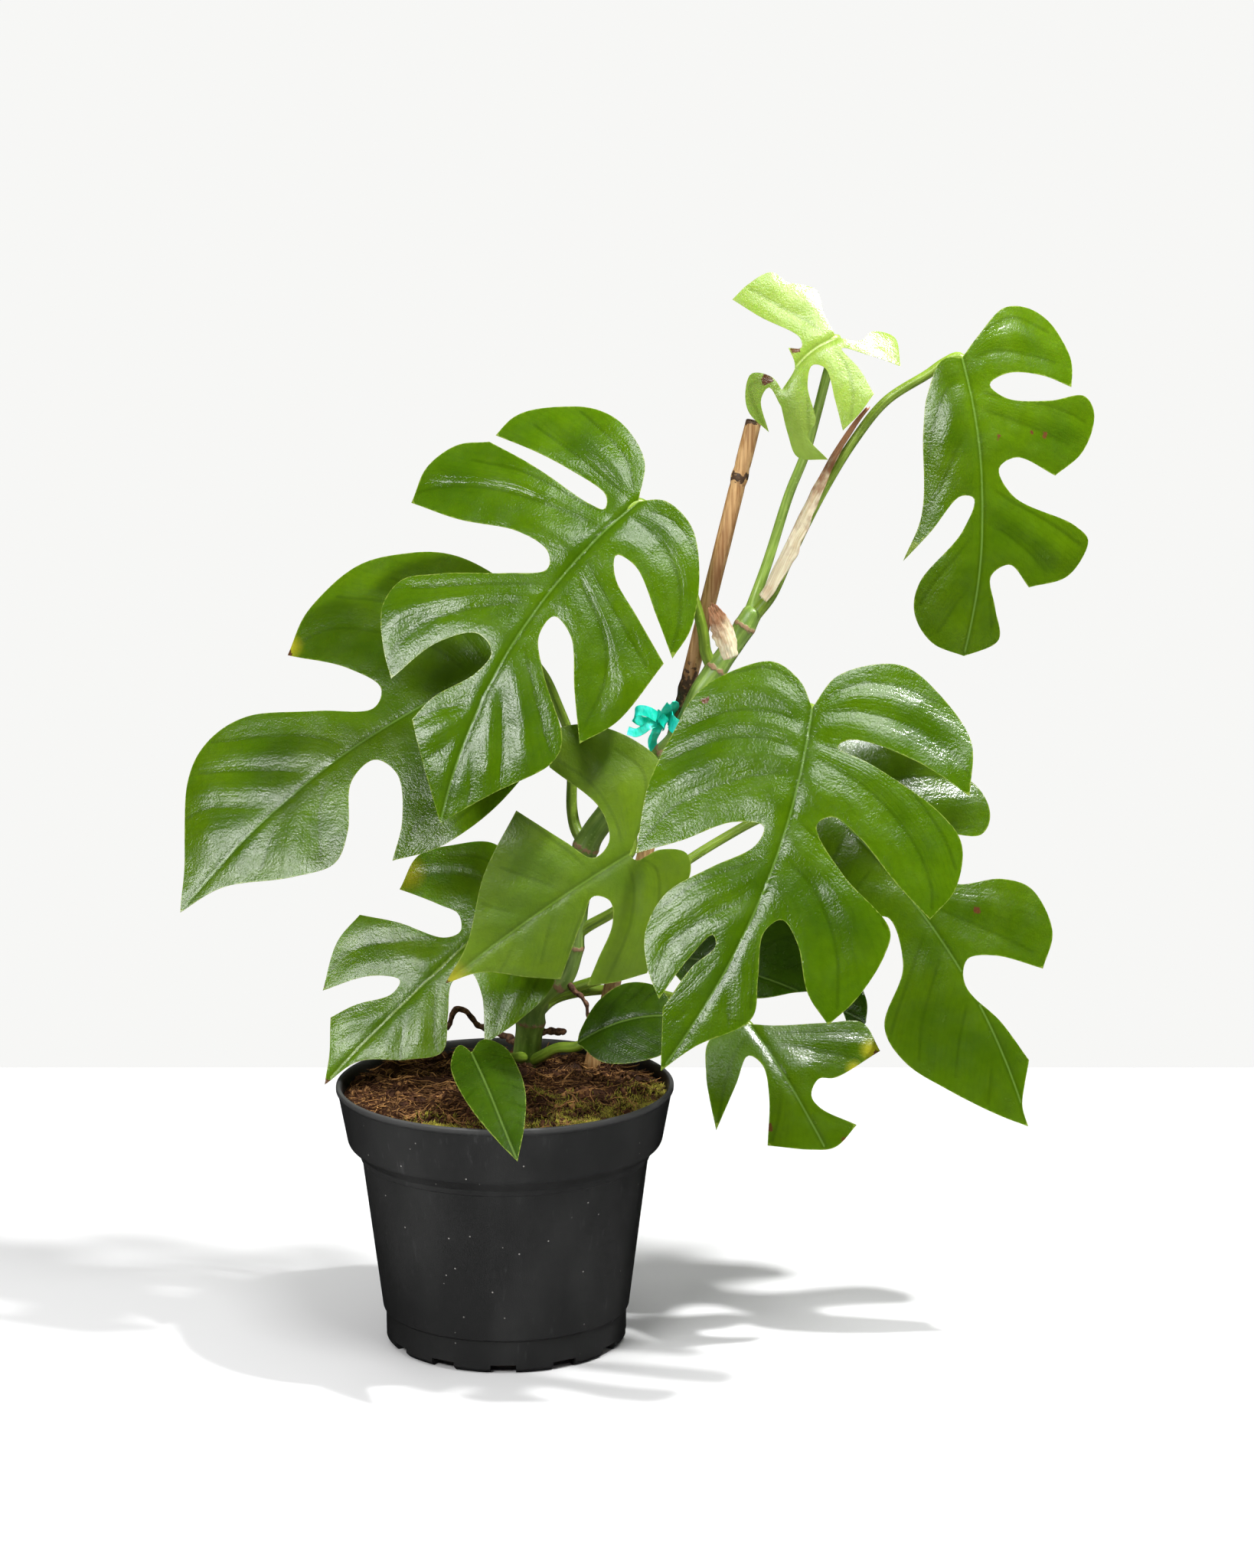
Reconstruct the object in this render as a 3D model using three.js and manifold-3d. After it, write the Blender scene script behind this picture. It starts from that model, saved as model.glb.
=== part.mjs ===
// A potted mini monstera (a young climbing split-leaf vine) in a 15 cm nursery pot, tied to a bamboo cane.
// Millimetres, +Z up. The origin is the centre of the pot's base, on the surface that it stands on.
import * as THREE from "three";
import { mergeVertices } from "three/addons/utils/BufferGeometryUtils.js";
import Module from "manifold-3d";

const wasm = await Module();
wasm.setup();

// ---- Pot ----
const POT_HEIGHT = 119;
const RIM_RADIUS = 76;
const RIM_BAND_HEIGHT = 26;
const RIM_BAND_TAPER = 5;
const SHOULDER_HEIGHT = 5;
const SHOULDER_STEP = 5.5;
const FOOT_RADIUS = 54.5;
const FOOT_BAND_HEIGHT = 15;
const FOOT_STEP = 1.3;
const FOOT_EDGE = 2;
const POT_WALL = 1.8;
const POT_FLOOR = 2.4;
const POT_SIDES = 48;
const NOTCH_COUNT = 12;
const NOTCH_WIDTH = 11.5;
const NOTCH_HEIGHT = 4;
const NOTCH_DEPTH = 6;

// ---- Growing medium ----
const SOIL_DROP = 6; // how far its edge lies below the rim
const SOIL_MOUND = 3.5; // how far its middle stands above its edge
const MOUND_SHARES = [0.85, 0.6, 0.3]; // where the mound is shaped, as shares of its radius

// ---- Plant ----
const STEM_BASE_RADIUS = 7;
const STEM_TIP_RADIUS = 4.8;
const STEM_ROOT_DEPTH = 14;
const STALK_BASE_RADIUS = 3;
const STALK_TIP_RADIUS = 2.1;
const LEAF_THICKNESS = 0.8;
const DROP_REACH = 50; // where along the half-width a blade's side drop is given
const SHEATH_THICKNESS = 0.7;

// ---- Cane and tie ----
const CANE_RADIUS = 3.8;
const CANE_HEIGHT = 301; // from the growing medium to its top
const CANE_DEPTH = 88; // how far it is pushed into the growing medium
const TIE_HEIGHT = 166; // above the growing medium
const TIE_WIDTH = 5;
const TIE_THICKNESS = 1;

// ---- Modelling ----
const CLEARANCE = 0.3;
const TUBE_SIDES = 8;
const STEM_SIDES = 12;
const ROOT_SIDES = 6;
const TUBE_STEP = 11;
const EDGE_STEP = 9;
const FACE_STEP = 26;
const MERGE_DISTANCE = 1e-4;

const SOIL_LEVEL = POT_HEIGHT - SOIL_DROP;
const BAND_BOTTOM = POT_HEIGHT - RIM_BAND_HEIGHT;
const BAND_RADIUS = RIM_RADIUS - RIM_BAND_TAPER;
const SHOULDER_RADIUS = BAND_RADIUS - SHOULDER_STEP;

// ---- Solids ----

function solidOf(geometry) {
  const bare = geometry.clone();
  bare.deleteAttribute("normal");
  bare.deleteAttribute("uv");
  const merged = mergeVertices(bare, MERGE_DISTANCE);
  const vertProperties = merged.attributes.position.array;
  const triVerts = new Uint32Array(merged.index.array);
  return new wasm.Manifold(new wasm.Mesh({ numProp: 3, vertProperties, triVerts }));
}

function geometryOf(solid) {
  const { vertProperties, triVerts } = solid.getMesh();
  const geometry = new THREE.BufferGeometry();
  geometry.setAttribute("position", new THREE.BufferAttribute(vertProperties, 3));
  geometry.setIndex(new THREE.BufferAttribute(triVerts, 1));
  return geometry;
}

function indexedGeometry(points, faces) {
  const geometry = new THREE.BufferGeometry().setFromPoints(points);
  geometry.setIndex(faces.flat());
  return geometry;
}

function turned(profile) {
  const points = profile.map(([radius, height]) => new THREE.Vector2(radius, height));
  return new THREE.LatheGeometry(points, POT_SIDES).rotateX(Math.PI / 2);
}

// A point of the plant: x and y from the pot's axis, z from the level of the growing medium's edge.
function grown([x, y, z]) {
  return new THREE.Vector3(x, y, z + SOIL_LEVEL);
}

// A round tube along a smooth path, tapering from one radius to the other.
function tube(points, startRadius, endRadius, sides = TUBE_SIDES) {
  const path = new THREE.CatmullRomCurve3(points, false, "centripetal");
  const steps = Math.max(3, Math.round(path.getLength() / TUBE_STEP));
  const section = new THREE.Shape();
  for (let side = 0; side < sides; side++) {
    const angle = (2 * Math.PI * side) / sides;
    const start = side ? "lineTo" : "moveTo";
    section[start](Math.cos(angle), Math.sin(angle));
  }
  const geometry = new THREE.ExtrudeGeometry(section, { steps, extrudePath: path, bevelEnabled: false });
  const centres = path.getSpacedPoints(steps);
  const position = geometry.attributes.position;
  const vertex = new THREE.Vector3();
  for (let i = 0; i < position.count; i++) {
    vertex.fromBufferAttribute(position, i);
    const distances = centres.map((centre) => centre.distanceTo(vertex));
    const ring = distances.indexOf(Math.min(...distances));
    const radius = THREE.MathUtils.lerp(startRadius, endRadius, ring / steps);
    vertex.sub(centres[ring]).multiplyScalar(radius).add(centres[ring]);
    position.setXYZ(i, vertex.x, vertex.y, vertex.z);
  }
  return geometry;
}

// Rings of points with the same count, skinned into one closed body.
function loft(rings) {
  const count = rings[0].length;
  const points = rings.flat();
  const faces = [];
  for (let ring = 0; ring + 1 < rings.length; ring++) {
    for (let i = 0; i < count; i++) {
      const a = ring * count + i;
      const b = ring * count + ((i + 1) % count);
      faces.push([a, b, b + count], [a, b + count, a + count]);
    }
  }
  const last = (rings.length - 1) * count;
  for (let i = 1; i + 1 < count; i++) {
    faces.push([0, i + 1, i], [last, last + i, last + i + 1]);
  }
  return indexedGeometry(points, faces);
}

// ---- Pot and growing medium ----

// The pot's inner face from the floor up to the rim, drawn in by a gap.
function innerProfile(top, gap) {
  const inset = POT_WALL + gap;
  const floor = POT_FLOOR + gap;
  const taper = (RIM_BAND_TAPER * (top - BAND_BOTTOM)) / RIM_BAND_HEIGHT;
  return [
    [0, floor],
    [FOOT_RADIUS - inset, floor],
    [FOOT_RADIUS - inset, FOOT_BAND_HEIGHT],
    [FOOT_RADIUS + FOOT_STEP - inset, FOOT_BAND_HEIGHT + FOOT_STEP],
    [SHOULDER_RADIUS - inset, BAND_BOTTOM - SHOULDER_HEIGHT + gap],
    [BAND_RADIUS - inset, BAND_BOTTOM + gap],
    [BAND_RADIUS + taper - inset, top],
  ];
}

function potGeometry() {
  const outer = [
    [0, 0],
    [FOOT_RADIUS - FOOT_EDGE, 0],
    [FOOT_RADIUS, FOOT_EDGE],
    [FOOT_RADIUS, FOOT_BAND_HEIGHT],
    [FOOT_RADIUS + FOOT_STEP, FOOT_BAND_HEIGHT + FOOT_STEP / 2],
    [SHOULDER_RADIUS, BAND_BOTTOM - SHOULDER_HEIGHT],
    [BAND_RADIUS, BAND_BOTTOM],
    [RIM_RADIUS, POT_HEIGHT],
  ];
  let pot = solidOf(turned([...outer, ...innerProfile(POT_HEIGHT, 0).reverse()]));
  for (let notch = 0; notch < NOTCH_COUNT; notch++) {
    const cutter = new THREE.BoxGeometry(NOTCH_DEPTH * 2, NOTCH_WIDTH, NOTCH_HEIGHT * 2);
    cutter.translate(FOOT_RADIUS, 0, 0);
    cutter.rotateZ((notch * 2 * Math.PI) / NOTCH_COUNT);
    pot = pot.subtract(solidOf(cutter));
  }
  return geometryOf(pot);
}

function soilGeometry() {
  const side = innerProfile(SOIL_LEVEL, CLEARANCE);
  const edge = side[side.length - 1][0];
  const surface = MOUND_SHARES.map((share) => [
    edge * share,
    SOIL_LEVEL + SOIL_MOUND * (1 - share * share),
  ]);
  const top = [0, SOIL_LEVEL + SOIL_MOUND];
  let soil = solidOf(turned([...side, ...surface, top]));
  for (const cutter of [stemSolid(CLEARANCE), caneSolid(CLEARANCE)]) soil = soil.subtract(cutter);
  return geometryOf(soil);
}

// ---- Stem, cane and tie ----

const STEM_PATH = [
  [9, 36, -STEM_ROOT_DEPTH],
  [9, 36, 4],
  [10, 33, 18],
  [13, 30, 35],
  [19, 29, 43],
  [26, 28, 50],
  [32, 28, 82],
  [36, 28, 107],
  [47, 26, 125],
  [59, 24, 139],
  [72, 22, 152],
  [81, 21, 165],
  [88, 22, 181],
  [96, 25, 192],
  [105, 27, 205],
  [112, 29, 217],
];
const CANE_FOOT = new THREE.Vector3(38, 36, 0);
const CANE_LEAN = new THREE.Vector3(73, -6, 301).normalize();

function stemSolid(growth) {
  const points = STEM_PATH.map(grown);
  points[0].z -= growth;
  points[points.length - 1].z += growth;
  return solidOf(tube(points, STEM_BASE_RADIUS + growth, STEM_TIP_RADIUS + growth, STEM_SIDES));
}

function caneAt(height) {
  const point = CANE_LEAN.clone().multiplyScalar(height / CANE_LEAN.z).add(CANE_FOOT);
  return point.setZ(height + SOIL_LEVEL);
}

function caneSolid(growth) {
  const foot = caneAt(-CANE_DEPTH - growth);
  const top = caneAt(CANE_HEIGHT + growth);
  const length = foot.distanceTo(top);
  const cane = new THREE.CylinderGeometry(CANE_RADIUS + growth, CANE_RADIUS + growth, length, STEM_SIDES);
  cane.applyQuaternion(new THREE.Quaternion().setFromUnitVectors(new THREE.Vector3(0, 1, 0), CANE_LEAN));
  cane.translate(...foot.add(top).multiplyScalar(0.5));
  return solidOf(cane);
}

// A flat ribbon that follows a path, with its width across both the path and the cane.
function ribbon(points, width) {
  const path = new THREE.CatmullRomCurve3(points);
  const steps = 2 * (points.length - 1);
  const rings = path.getPoints(steps).map((centre, i) => {
    const along = path.getTangent(i / steps);
    const across = CANE_LEAN.clone().cross(along).cross(along).normalize();
    const through = along.clone().cross(across).normalize();
    const corner = (w, t) =>
      centre.clone().addScaledVector(across, (w * width) / 2).addScaledVector(through, (t * TIE_THICKNESS) / 2);
    return [corner(-1, -1), corner(1, -1), corner(1, 1), corner(-1, 1)];
  });
  return solidOf(loft(rings));
}

// The tie: one band round the cane and the stem, with a knot, two loops and two tails in front.
function tieGeometry() {
  const centre = caneAt(TIE_HEIGHT);
  const frame = new THREE.Group();
  frame.position.copy(centre);
  frame.quaternion.setFromUnitVectors(new THREE.Vector3(0, 0, 1), CANE_LEAN);
  frame.updateMatrixWorld();
  const stemPoints = new THREE.CatmullRomCurve3(STEM_PATH.map(grown), false, "centripetal").getSpacedPoints(200);
  const nearest = stemPoints.reduce((a, b) => (centre.distanceTo(a) < centre.distanceTo(b) ? a : b));
  const offset = frame.worldToLocal(nearest.clone());
  const apart = Math.hypot(offset.x, offset.y);
  const stemRound = STEM_BASE_RADIUS + 2 * CLEARANCE;
  const caneRound = CANE_RADIUS + 2 * CLEARANCE;
  const loop = (shape, growth) => {
    shape.moveTo(0, -caneRound - growth);
    shape.lineTo(apart, -stemRound - growth);
    shape.absarc(apart, 0, stemRound + growth, -Math.PI / 2, Math.PI / 2, false);
    shape.lineTo(0, caneRound + growth);
    shape.absarc(0, 0, caneRound + growth, Math.PI / 2, (3 * Math.PI) / 2, false);
    return shape;
  };
  const outline = loop(new THREE.Shape(), TIE_THICKNESS);
  outline.holes.push(loop(new THREE.Path(), 0));
  const band = new THREE.ExtrudeGeometry(outline, { depth: TIE_WIDTH, bevelEnabled: false, curveSegments: 5 });
  band.translate(0, 0, -TIE_WIDTH / 2);
  band.rotateZ(Math.atan2(offset.y, offset.x));
  band.applyMatrix4(frame.matrixWorld);
  const side = -caneRound - TIE_THICKNESS - TIE_WIDTH / 2;
  const at = (x, y, z) => centre.clone().add(new THREE.Vector3(side + x, y - CANE_RADIUS, z));
  const knot = new THREE.BoxGeometry(TIE_WIDTH, TIE_WIDTH + 2, TIE_WIDTH);
  knot.translate(...at(1, 1, 0));
  const pieces = [
    ribbon([at(0, 0, 0), at(-7, -1, 5), at(-12, 0, 3), at(-8, 2, -1), at(0, 1, 0)], TIE_WIDTH),
    ribbon([at(0, 0, 0), at(2, -3, 6), at(5, -4, 9), at(5, -1, 5), at(1, 1, 0)], TIE_WIDTH),
    ribbon([at(0, 0, 0), at(-3, -1, -6), at(-4, 0, -13)], TIE_WIDTH),
    ribbon([at(0, 0, 0), at(-6, -2, -3), at(-13, -2, -4)], TIE_WIDTH - 1),
  ];
  return geometryOf(pieces.reduce((whole, piece) => whole.add(piece), solidOf(band).add(solidOf(knot))));
}

// ---- Leaves ----
// base: where the blade meets its stalk. point: where its tip reaches. face: which way its upper side looks.
// arch: how far the midrib bulges; sway: how far it bows sideways. drop: how far each side falls.
// outline: curves that meet at sharp corners, each a few [along, across] points from the base.
// stalk: the leaf stalk's path, from inside the stem or its parent stalk up to just short of the base.
// young: a leaf that is still pale.

const RIM_INSIDE = 62 - RIM_RADIUS; // where the leaf over the rim starts to fall towards it
const CANE_PASS = STALK_BASE_RADIUS + CANE_RADIUS + 0.2; // how far in front of the cane's axis a stalk passes it
const CANE_FRONT_HIGH = 32 - CANE_PASS;
const CANE_FRONT_LOW = 34 - CANE_PASS;
const STALK_FRONT_LOW = CANE_FRONT_LOW - STALK_BASE_RADIUS; // where a root passes in front of the low stalk

const LEAVES = [
  {
    name: "upper_centre",
    base: [60, 26, 266],
    point: [-27, -28, 132],
    face: [0.05, -0.82, 0.56],
    arch: 6,
    sway: 13,
    drop: [4, 4],
    outline: [
      [[0, 0], [-18, 8], [-28, 27], [-27, 45], [-15, 64], [-7, 70], [5, 72]],
      [[5, 72], [3, 37], [5, 14], [11, 11], [12, 18], [10, 44], [9, 73]],
      [[9, 73], [17, 85], [34, 91], [51, 88]],
      [[51, 88], [48, 65], [40, 40], [41, 22], [48, 18], [59, 33], [74, 59], [84, 72], [98, 73], [115, 62], [125, 52]],
      [[125, 52], [102, 43], [89, 29], [93, 19], [104, 20], [123, 31], [136, 34]],
      [[136, 34], [147, 23], [169, 0]],
      [[169, 0], [146, -14], [122, -29], [111, -28], [90, -6], [76, 5], [65, 4], [69, -7], [89, -21], [108, -35]],
      [[108, -35], [91, -44], [58, -48]],
      [[58, -48], [46, -27], [36, -10], [27, -5], [27, -15], [42, -35], [54, -50]],
      [[54, -50], [38, -50], [16, -41], [-2, -26], [-6, -10], [0, 0]],
    ],
    stalk: [
      [94, 25, 189],
      [90, CANE_FRONT_HIGH, 198],
      [89, CANE_FRONT_HIGH, 206],
      [86, CANE_FRONT_HIGH + 1, 218],
      [80, CANE_FRONT_HIGH + 4, 236],
      [71, 31, 252],
    ],
  },
  {
    name: "far_left",
    base: [9, 36, 194],
    point: [-145, -4, 85],
    face: [-0.1, -0.82, 0.56],
    arch: 5,
    sway: 12,
    drop: [3, 3],
    outline: [
      [[0, 0], [-13, 16], [-14, 36], [-7, 58], [6, 74], [27, 86], [42, 88], [67, 81], [84, 70]],
      [[84, 70], [66, 45], [60, 28], [68, 22], [89, 37], [115, 56], [135, 59], [152, 51], [180, 14], [192, 0]],
      [[192, 0], [171, -3], [143, -20], [124, -27], [111, -19], [96, -1], [82, 1], [78, -11], [89, -30], [103, -42]],
      [[103, -42], [81, -50], [46, -49], [18, -38], [4, -16], [0, 0]],
    ],
    stalk: [[37, 28, 108], [32, 32, 115], [30, 35, 124], [30, 38, 140], [29, 40, 156], [24, 41, 170], [17, 41, 185]],
  },
  {
    name: "new_top",
    young: true,
    base: [147, 22, 339],
    point: [123, 14, 317],
    face: [-0.15, -0.97, 0.25],
    arch: 3,
    sway: 3,
    drop: [2, 2],
    outline: [
      [[0, 0], [-4, 12], [-9, 22], [-6, 28], [-2, 33], [0, 41], [11, 44], [21, 44]],
      [[21, 44], [18, 30], [12, 11], [15, 7], [19, 11]],
      [[19, 11], [23, 3], [34, 0]],
      [[34, 0], [33, 7], [38, 15], [45, 12], [50, 5], [50, -8]],
      [[50, -8], [43, 4], [37, 5], [39, -5]],
      [[39, -5], [45, -15], [49, -25], [41, -36]],
      [[41, -36], [40, -22], [34, -21], [25, -7], [17, -2], [14, -7], [21, -20], [28, -32]],
      [[28, -32], [18, -32], [7, -30]],
      [[7, -30], [3, -17], [2, -5], [-5, -16], [-12, -28]],
      [[-12, -28], [-20, -16], [-14, -8], [-7, -8], [0, 0]],
    ],
    stalk: [[107, 28, 208], [112, 36, 220], [118, 38, 237], [127, 36, 267], [134, 32, 286], [139, 29, 305], [143, 26, 322]],
  },
  {
    name: "upper_right",
    base: [202, 15, 331],
    point: [203, -5, 202],
    face: [0.3, -0.9, 0.2],
    arch: 8,
    sway: -6,
    drop: [7, 42],
    outline: [
      [[0, 0], [-9, -8], [-22, -23], [-22, -37], [-14, -49], [1, -55], [13, -53]],
      [[13, -53], [8, -38], [7, -21], [12, -12], [18, -20], [19, -41], [17, -60], [25, -65], [41, -58], [52, -42]],
      [[52, -42], [44, -23], [49, -14], [61, -21], [74, -52], [81, -60], [96, -50], [101, -29]],
      [[101, -29], [91, -19], [96, -10], [110, -13], [124, -16], [131, 0]],
      [[131, 0], [125, 14], [112, 21], [98, 19], [76, 3], [62, -2], [61, 4], [77, 16], [89, 25]],
      [[89, 25], [69, 19], [33, 18], [16, 16], [1, 9], [0, 0]],
    ],
    stalk: [
      [112, 29, 214],
      [119, 28, 223],
      [126, 27, 238],
      [141, 25, 269],
      [155, 23, 293],
      [169, 21, 311],
      [187, 19, 323],
      [194, 18, 328],
    ],
  },
  {
    name: "front_right",
    base: [135, -38, 185],
    point: [69, -96, 38],
    face: [0, -0.82, 0.57],
    arch: 6,
    sway: -12,
    drop: [4, 4],
    outline: [
      [[0, 0], [-9, 9], [-13, 23], [-5, 36], [12, 49], [31, 52], [56, 53], [88, 46]],
      [[88, 46], [76, 30], [60, 12], [57, -1], [66, -1], [82, 13], [100, 27], [117, 29], [132, 22], [143, 12]],
      [[143, 12], [123, 7], [109, 1], [113, -2], [125, 4], [146, 9]],
      [[146, 9], [160, 4], [171, 0]],
      [[171, 0], [156, -10], [136, -28], [119, -24], [100, -19], [92, -24], [99, -34], [117, -46], [126, -59]],
      [[126, -59], [111, -66], [89, -70], [78, -68], [64, -41], [48, -22], [42, -27], [46, -41], [59, -64], [67, -82]],
      [[67, -82], [50, -87], [31, -82], [22, -68], [14, -33], [12, -17], [7, -21], [5, -50], [10, -77]],
      [[10, -77], [-14, -68], [-28, -48], [-33, -28], [-18, -5], [0, 0]],
    ],
    stalk: [[75, 22, 155], [79, 12, 158], [87, -2, 161], [104, -20, 170], [124, -31, 181]],
  },
  {
    name: "lower_right",
    base: [140, 35, 130],
    point: [236, -8, -13],
    face: [0.1, -0.82, 0.55],
    arch: 6,
    sway: -11,
    drop: [3, 3],
    outline: [
      [[0, 0], [-16, -16], [-12, -36], [12, -56], [36, -68], [50, -65], [55, -56], [45, -40], [39, -22], [43, -9],
        [51, -23], [62, -27], [69, -34], [77, -52], [88, -62], [109, -59], [121, -45]],
      [[121, -45], [104, -28], [99, -16], [108, -9], [131, -14], [152, -16]],
      [[152, -16], [167, -3], [177, 0]],
      [[177, 0], [166, 9], [145, 23], [122, 34], [104, 33], [86, 11], [64, 4], [60, 14], [66, 34], [54, 44]],
      [[54, 44], [30, 38], [4, 26], [-9, 10], [0, 0]],
    ],
    stalk: [
      [28, 28, 61],
      [34, 27, 69],
      [48, 25, 78],
      [60, 25, 86],
      [83, 33, 101],
      [99, 38, 110],
      [114, 40, 118],
      [128, 39, 124],
    ],
  },
  {
    name: "low_right",
    base: [110, 5, 32],
    point: [144, -22, -19],
    face: [0, -0.7, 0.7],
    arch: 4,
    sway: 0,
    drop: [2, 2],
    outline: [
      [[0, 0], [5, -7], [17, -30], [25, -45], [40, -45]],
      [[40, -45], [41, -20], [38, -13], [43, -6], [50, -7], [64, -18]],
      [[64, -18], [68, -4], [64, 6], [53, 23]],
      [[53, 23], [34, 11], [20, 6], [13, 9], [22, 21], [36, 40]],
      [[36, 40], [22, 35], [11, 30], [-2, 20], [0, 0]],
    ],
    stalk: [[12, 33, 27], [22, 41, 34], [44, 45, 37], [66, 36, 38], [90, 18, 36], [104, 9, 33]],
  },
  {
    name: "inner_right",
    base: [69, 40, 56],
    point: [163, 28, 26],
    face: [0, -0.7, 0.7],
    arch: 3,
    sway: -4,
    drop: [3, 3],
    outline: [
      [[0, 0], [22, 14], [50, 7], [71, -5], [84, -6], [92, 4], [97, 9], [100, 0]],
      [[100, 0], [97, -11], [82, -28], [60, -41], [34, -38], [9, -20], [0, 0]],
    ],
    stalk: [[13, 29, 34], [22, 28, 39], [37, CANE_FRONT_LOW - 1, 45], [50, CANE_FRONT_LOW, 49], [60, 34, 53]],
  },
  {
    name: "centre",
    base: [56, 0, 111],
    point: [-26, -13, 55],
    face: [-0.05, -0.98, 0.12],
    arch: 3,
    sway: 2,
    drop: [3, 3],
    outline: [
      [[0, 0], [-1, -4], [-12, -6], [-21, -14], [-18, -22], [4, -34], [24, -48]],
      [[24, -48], [38, -43], [49, -37]],
      [[49, -37], [38, -30], [24, -21], [19, -12], [24, -6], [34, -12], [57, -28]],
      [[57, -28], [68, -19], [84, -5], [100, 0]],
      [[100, 0], [82, 9], [58, 30], [30, 45]],
      [[30, 45], [20, 21], [14, 8], [4, 10], [-1, 24], [7, 52]],
      [[7, 52], [0, 64], [-17, 59], [-31, 40], [-34, 23], [-10, 6], [0, 0]],
    ],
    stalk: [[48, 26, 126], [51, 18, 129], [55, 11, 126], [57, 6, 118]],
  },
  {
    name: "lower_left",
    young: true,
    base: [4, 30, 82],
    point: [-81, 0, 5],
    face: [-0.1, -0.85, 0.5],
    arch: 4,
    sway: 1,
    drop: [3, 3],
    outline: [
      [[0, 0], [-12, 8], [-12, 28], [1, 40], [16, 48], [33, 42]],
      [[33, 42], [25, 23], [22, 14], [27, 7], [34, 10], [44, 30], [54, 46]],
      [[54, 46], [70, 44], [90, 32]],
      [[90, 32], [70, 21], [62, 10], [69, 8], [84, 16], [96, 20]],
      [[96, 20], [108, 8], [119, 0]],
      [[119, 0], [101, -4], [84, -20], [71, -28], [58, -18], [46, -8], [37, -10], [40, -21], [55, -39]],
      [[55, -39], [36, -42], [15, -41], [-4, -26], [-10, -8], [0, 0]],
    ],
    stalk: [[22, 29, 46], [14, 36, 60], [8, 38, 74]],
  },
  {
    name: "front_rim",
    base: [-14, RIM_INSIDE - 14, 28],
    point: [8, -RIM_RADIUS - 22, -1],
    face: [0, -0.45, 0.9],
    arch: 5,
    sway: 1,
    drop: [6, 6],
    outline: [
      [[0, 0], [-9, 3], [6, 11], [26, 13], [45, 11], [67, 5], [79, 0]],
      [[79, 0], [61, -8], [41, -14], [21, -16], [0, -15], [-10, -8], [0, 0]],
    ],
    stalk: [[9, 36, 8], [5, 22, 11], [-1, RIM_INSIDE + 18, 16], [-8, RIM_INSIDE, 22]],
  },
  {
    name: "soil_right",
    base: [32, 5, 23],
    point: [78, 0, 37],
    face: [0, -0.7, 0.7],
    arch: 3,
    sway: -3,
    drop: [3, 3],
    outline: [
      [[0, 0], [3, -6], [13, -17], [28, -22], [42, -16], [48, 0]],
      [[48, 0], [42, 16], [29, 19], [11, 14], [0, 0]],
    ],
    stalk: [[9, 36, 5], [15, 27, 10], [24, 14, 18]],
  },
];

// A blade's own frame: an axis from base to tip, one out of its upper side, and one across.
function bladeFrame(leaf) {
  const base = grown(leaf.base);
  const along = grown(leaf.point).sub(base);
  const length = along.length();
  along.normalize();
  const face = new THREE.Vector3(...leaf.face);
  const out = face.addScaledVector(along, -face.dot(along)).normalize();
  const across = along.clone().cross(out);
  return { base, along, across, out, length };
}

// How far the blade's middle surface stands off its flat plane at a point.
function bladeRise(leaf, length, a, b) {
  const bow = (4 * a * (length - a)) / (length * length);
  const side = (b - leaf.sway * bow) / DROP_REACH;
  const drop = leaf.drop[side < 0 ? 0 : 1];
  return leaf.arch * bow - drop * side * side;
}

function bladeOutline(leaf) {
  const ring = [];
  for (const stretch of leaf.outline) {
    const points = stretch.map(([a, b]) => new THREE.Vector3(a, b, 0));
    const curve = new THREE.CatmullRomCurve3(points, false, "centripetal");
    const steps = Math.max(2, Math.round(curve.getLength() / EDGE_STEP));
    ring.push(...curve.getSpacedPoints(steps).slice(0, -1));
  }
  const flat = ring.map(({ x, y }) => new THREE.Vector2(x, y));
  return THREE.ShapeUtils.isClockWise(flat) ? flat.reverse() : flat;
}

// Splits every edge longer than the step at its middle until none is left, so that a face can bend.
function splitLongEdges(points, faces) {
  let work = faces;
  for (let split = true; split; ) {
    split = false;
    const middles = new Map();
    const middle = (i, j) => {
      const key = i < j ? `${i},${j}` : `${j},${i}`;
      if (points[i].distanceTo(points[j]) <= FACE_STEP) return -1;
      if (!middles.has(key)) {
        middles.set(key, points.length);
        points.push(points[i].clone().lerp(points[j], 0.5));
      }
      return middles.get(key);
    };
    const next = [];
    for (const [i, j, k] of work) {
      const sides = [
        [i, j, k],
        [j, k, i],
        [k, i, j],
      ].sort(([a, b], [c, d]) => points[c].distanceTo(points[d]) - points[a].distanceTo(points[b]));
      const [[a, b, c]] = sides;
      const ab = middle(a, b);
      if (ab < 0) {
        next.push([i, j, k]);
        continue;
      }
      split = true;
      const bc = middle(b, c);
      const ca = middle(c, a);
      next.push(...fan(a, b, c, ab, bc, ca));
    }
    work = next;
  }
  return work;
}

// The pieces of a face whose side ab, and perhaps bc and ca, are split at their middles.
function fan(a, b, c, ab, bc, ca) {
  if (bc < 0 && ca < 0) return [[a, ab, c], [ab, b, c]];
  if (bc < 0) return [[a, ab, ca], [ab, b, c], [ab, c, ca]];
  if (ca < 0) return [[a, ab, c], [ab, b, bc], [ab, bc, c]];
  return [[a, ab, ca], [ab, b, bc], [bc, c, ca], [ab, bc, ca]];
}

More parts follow.
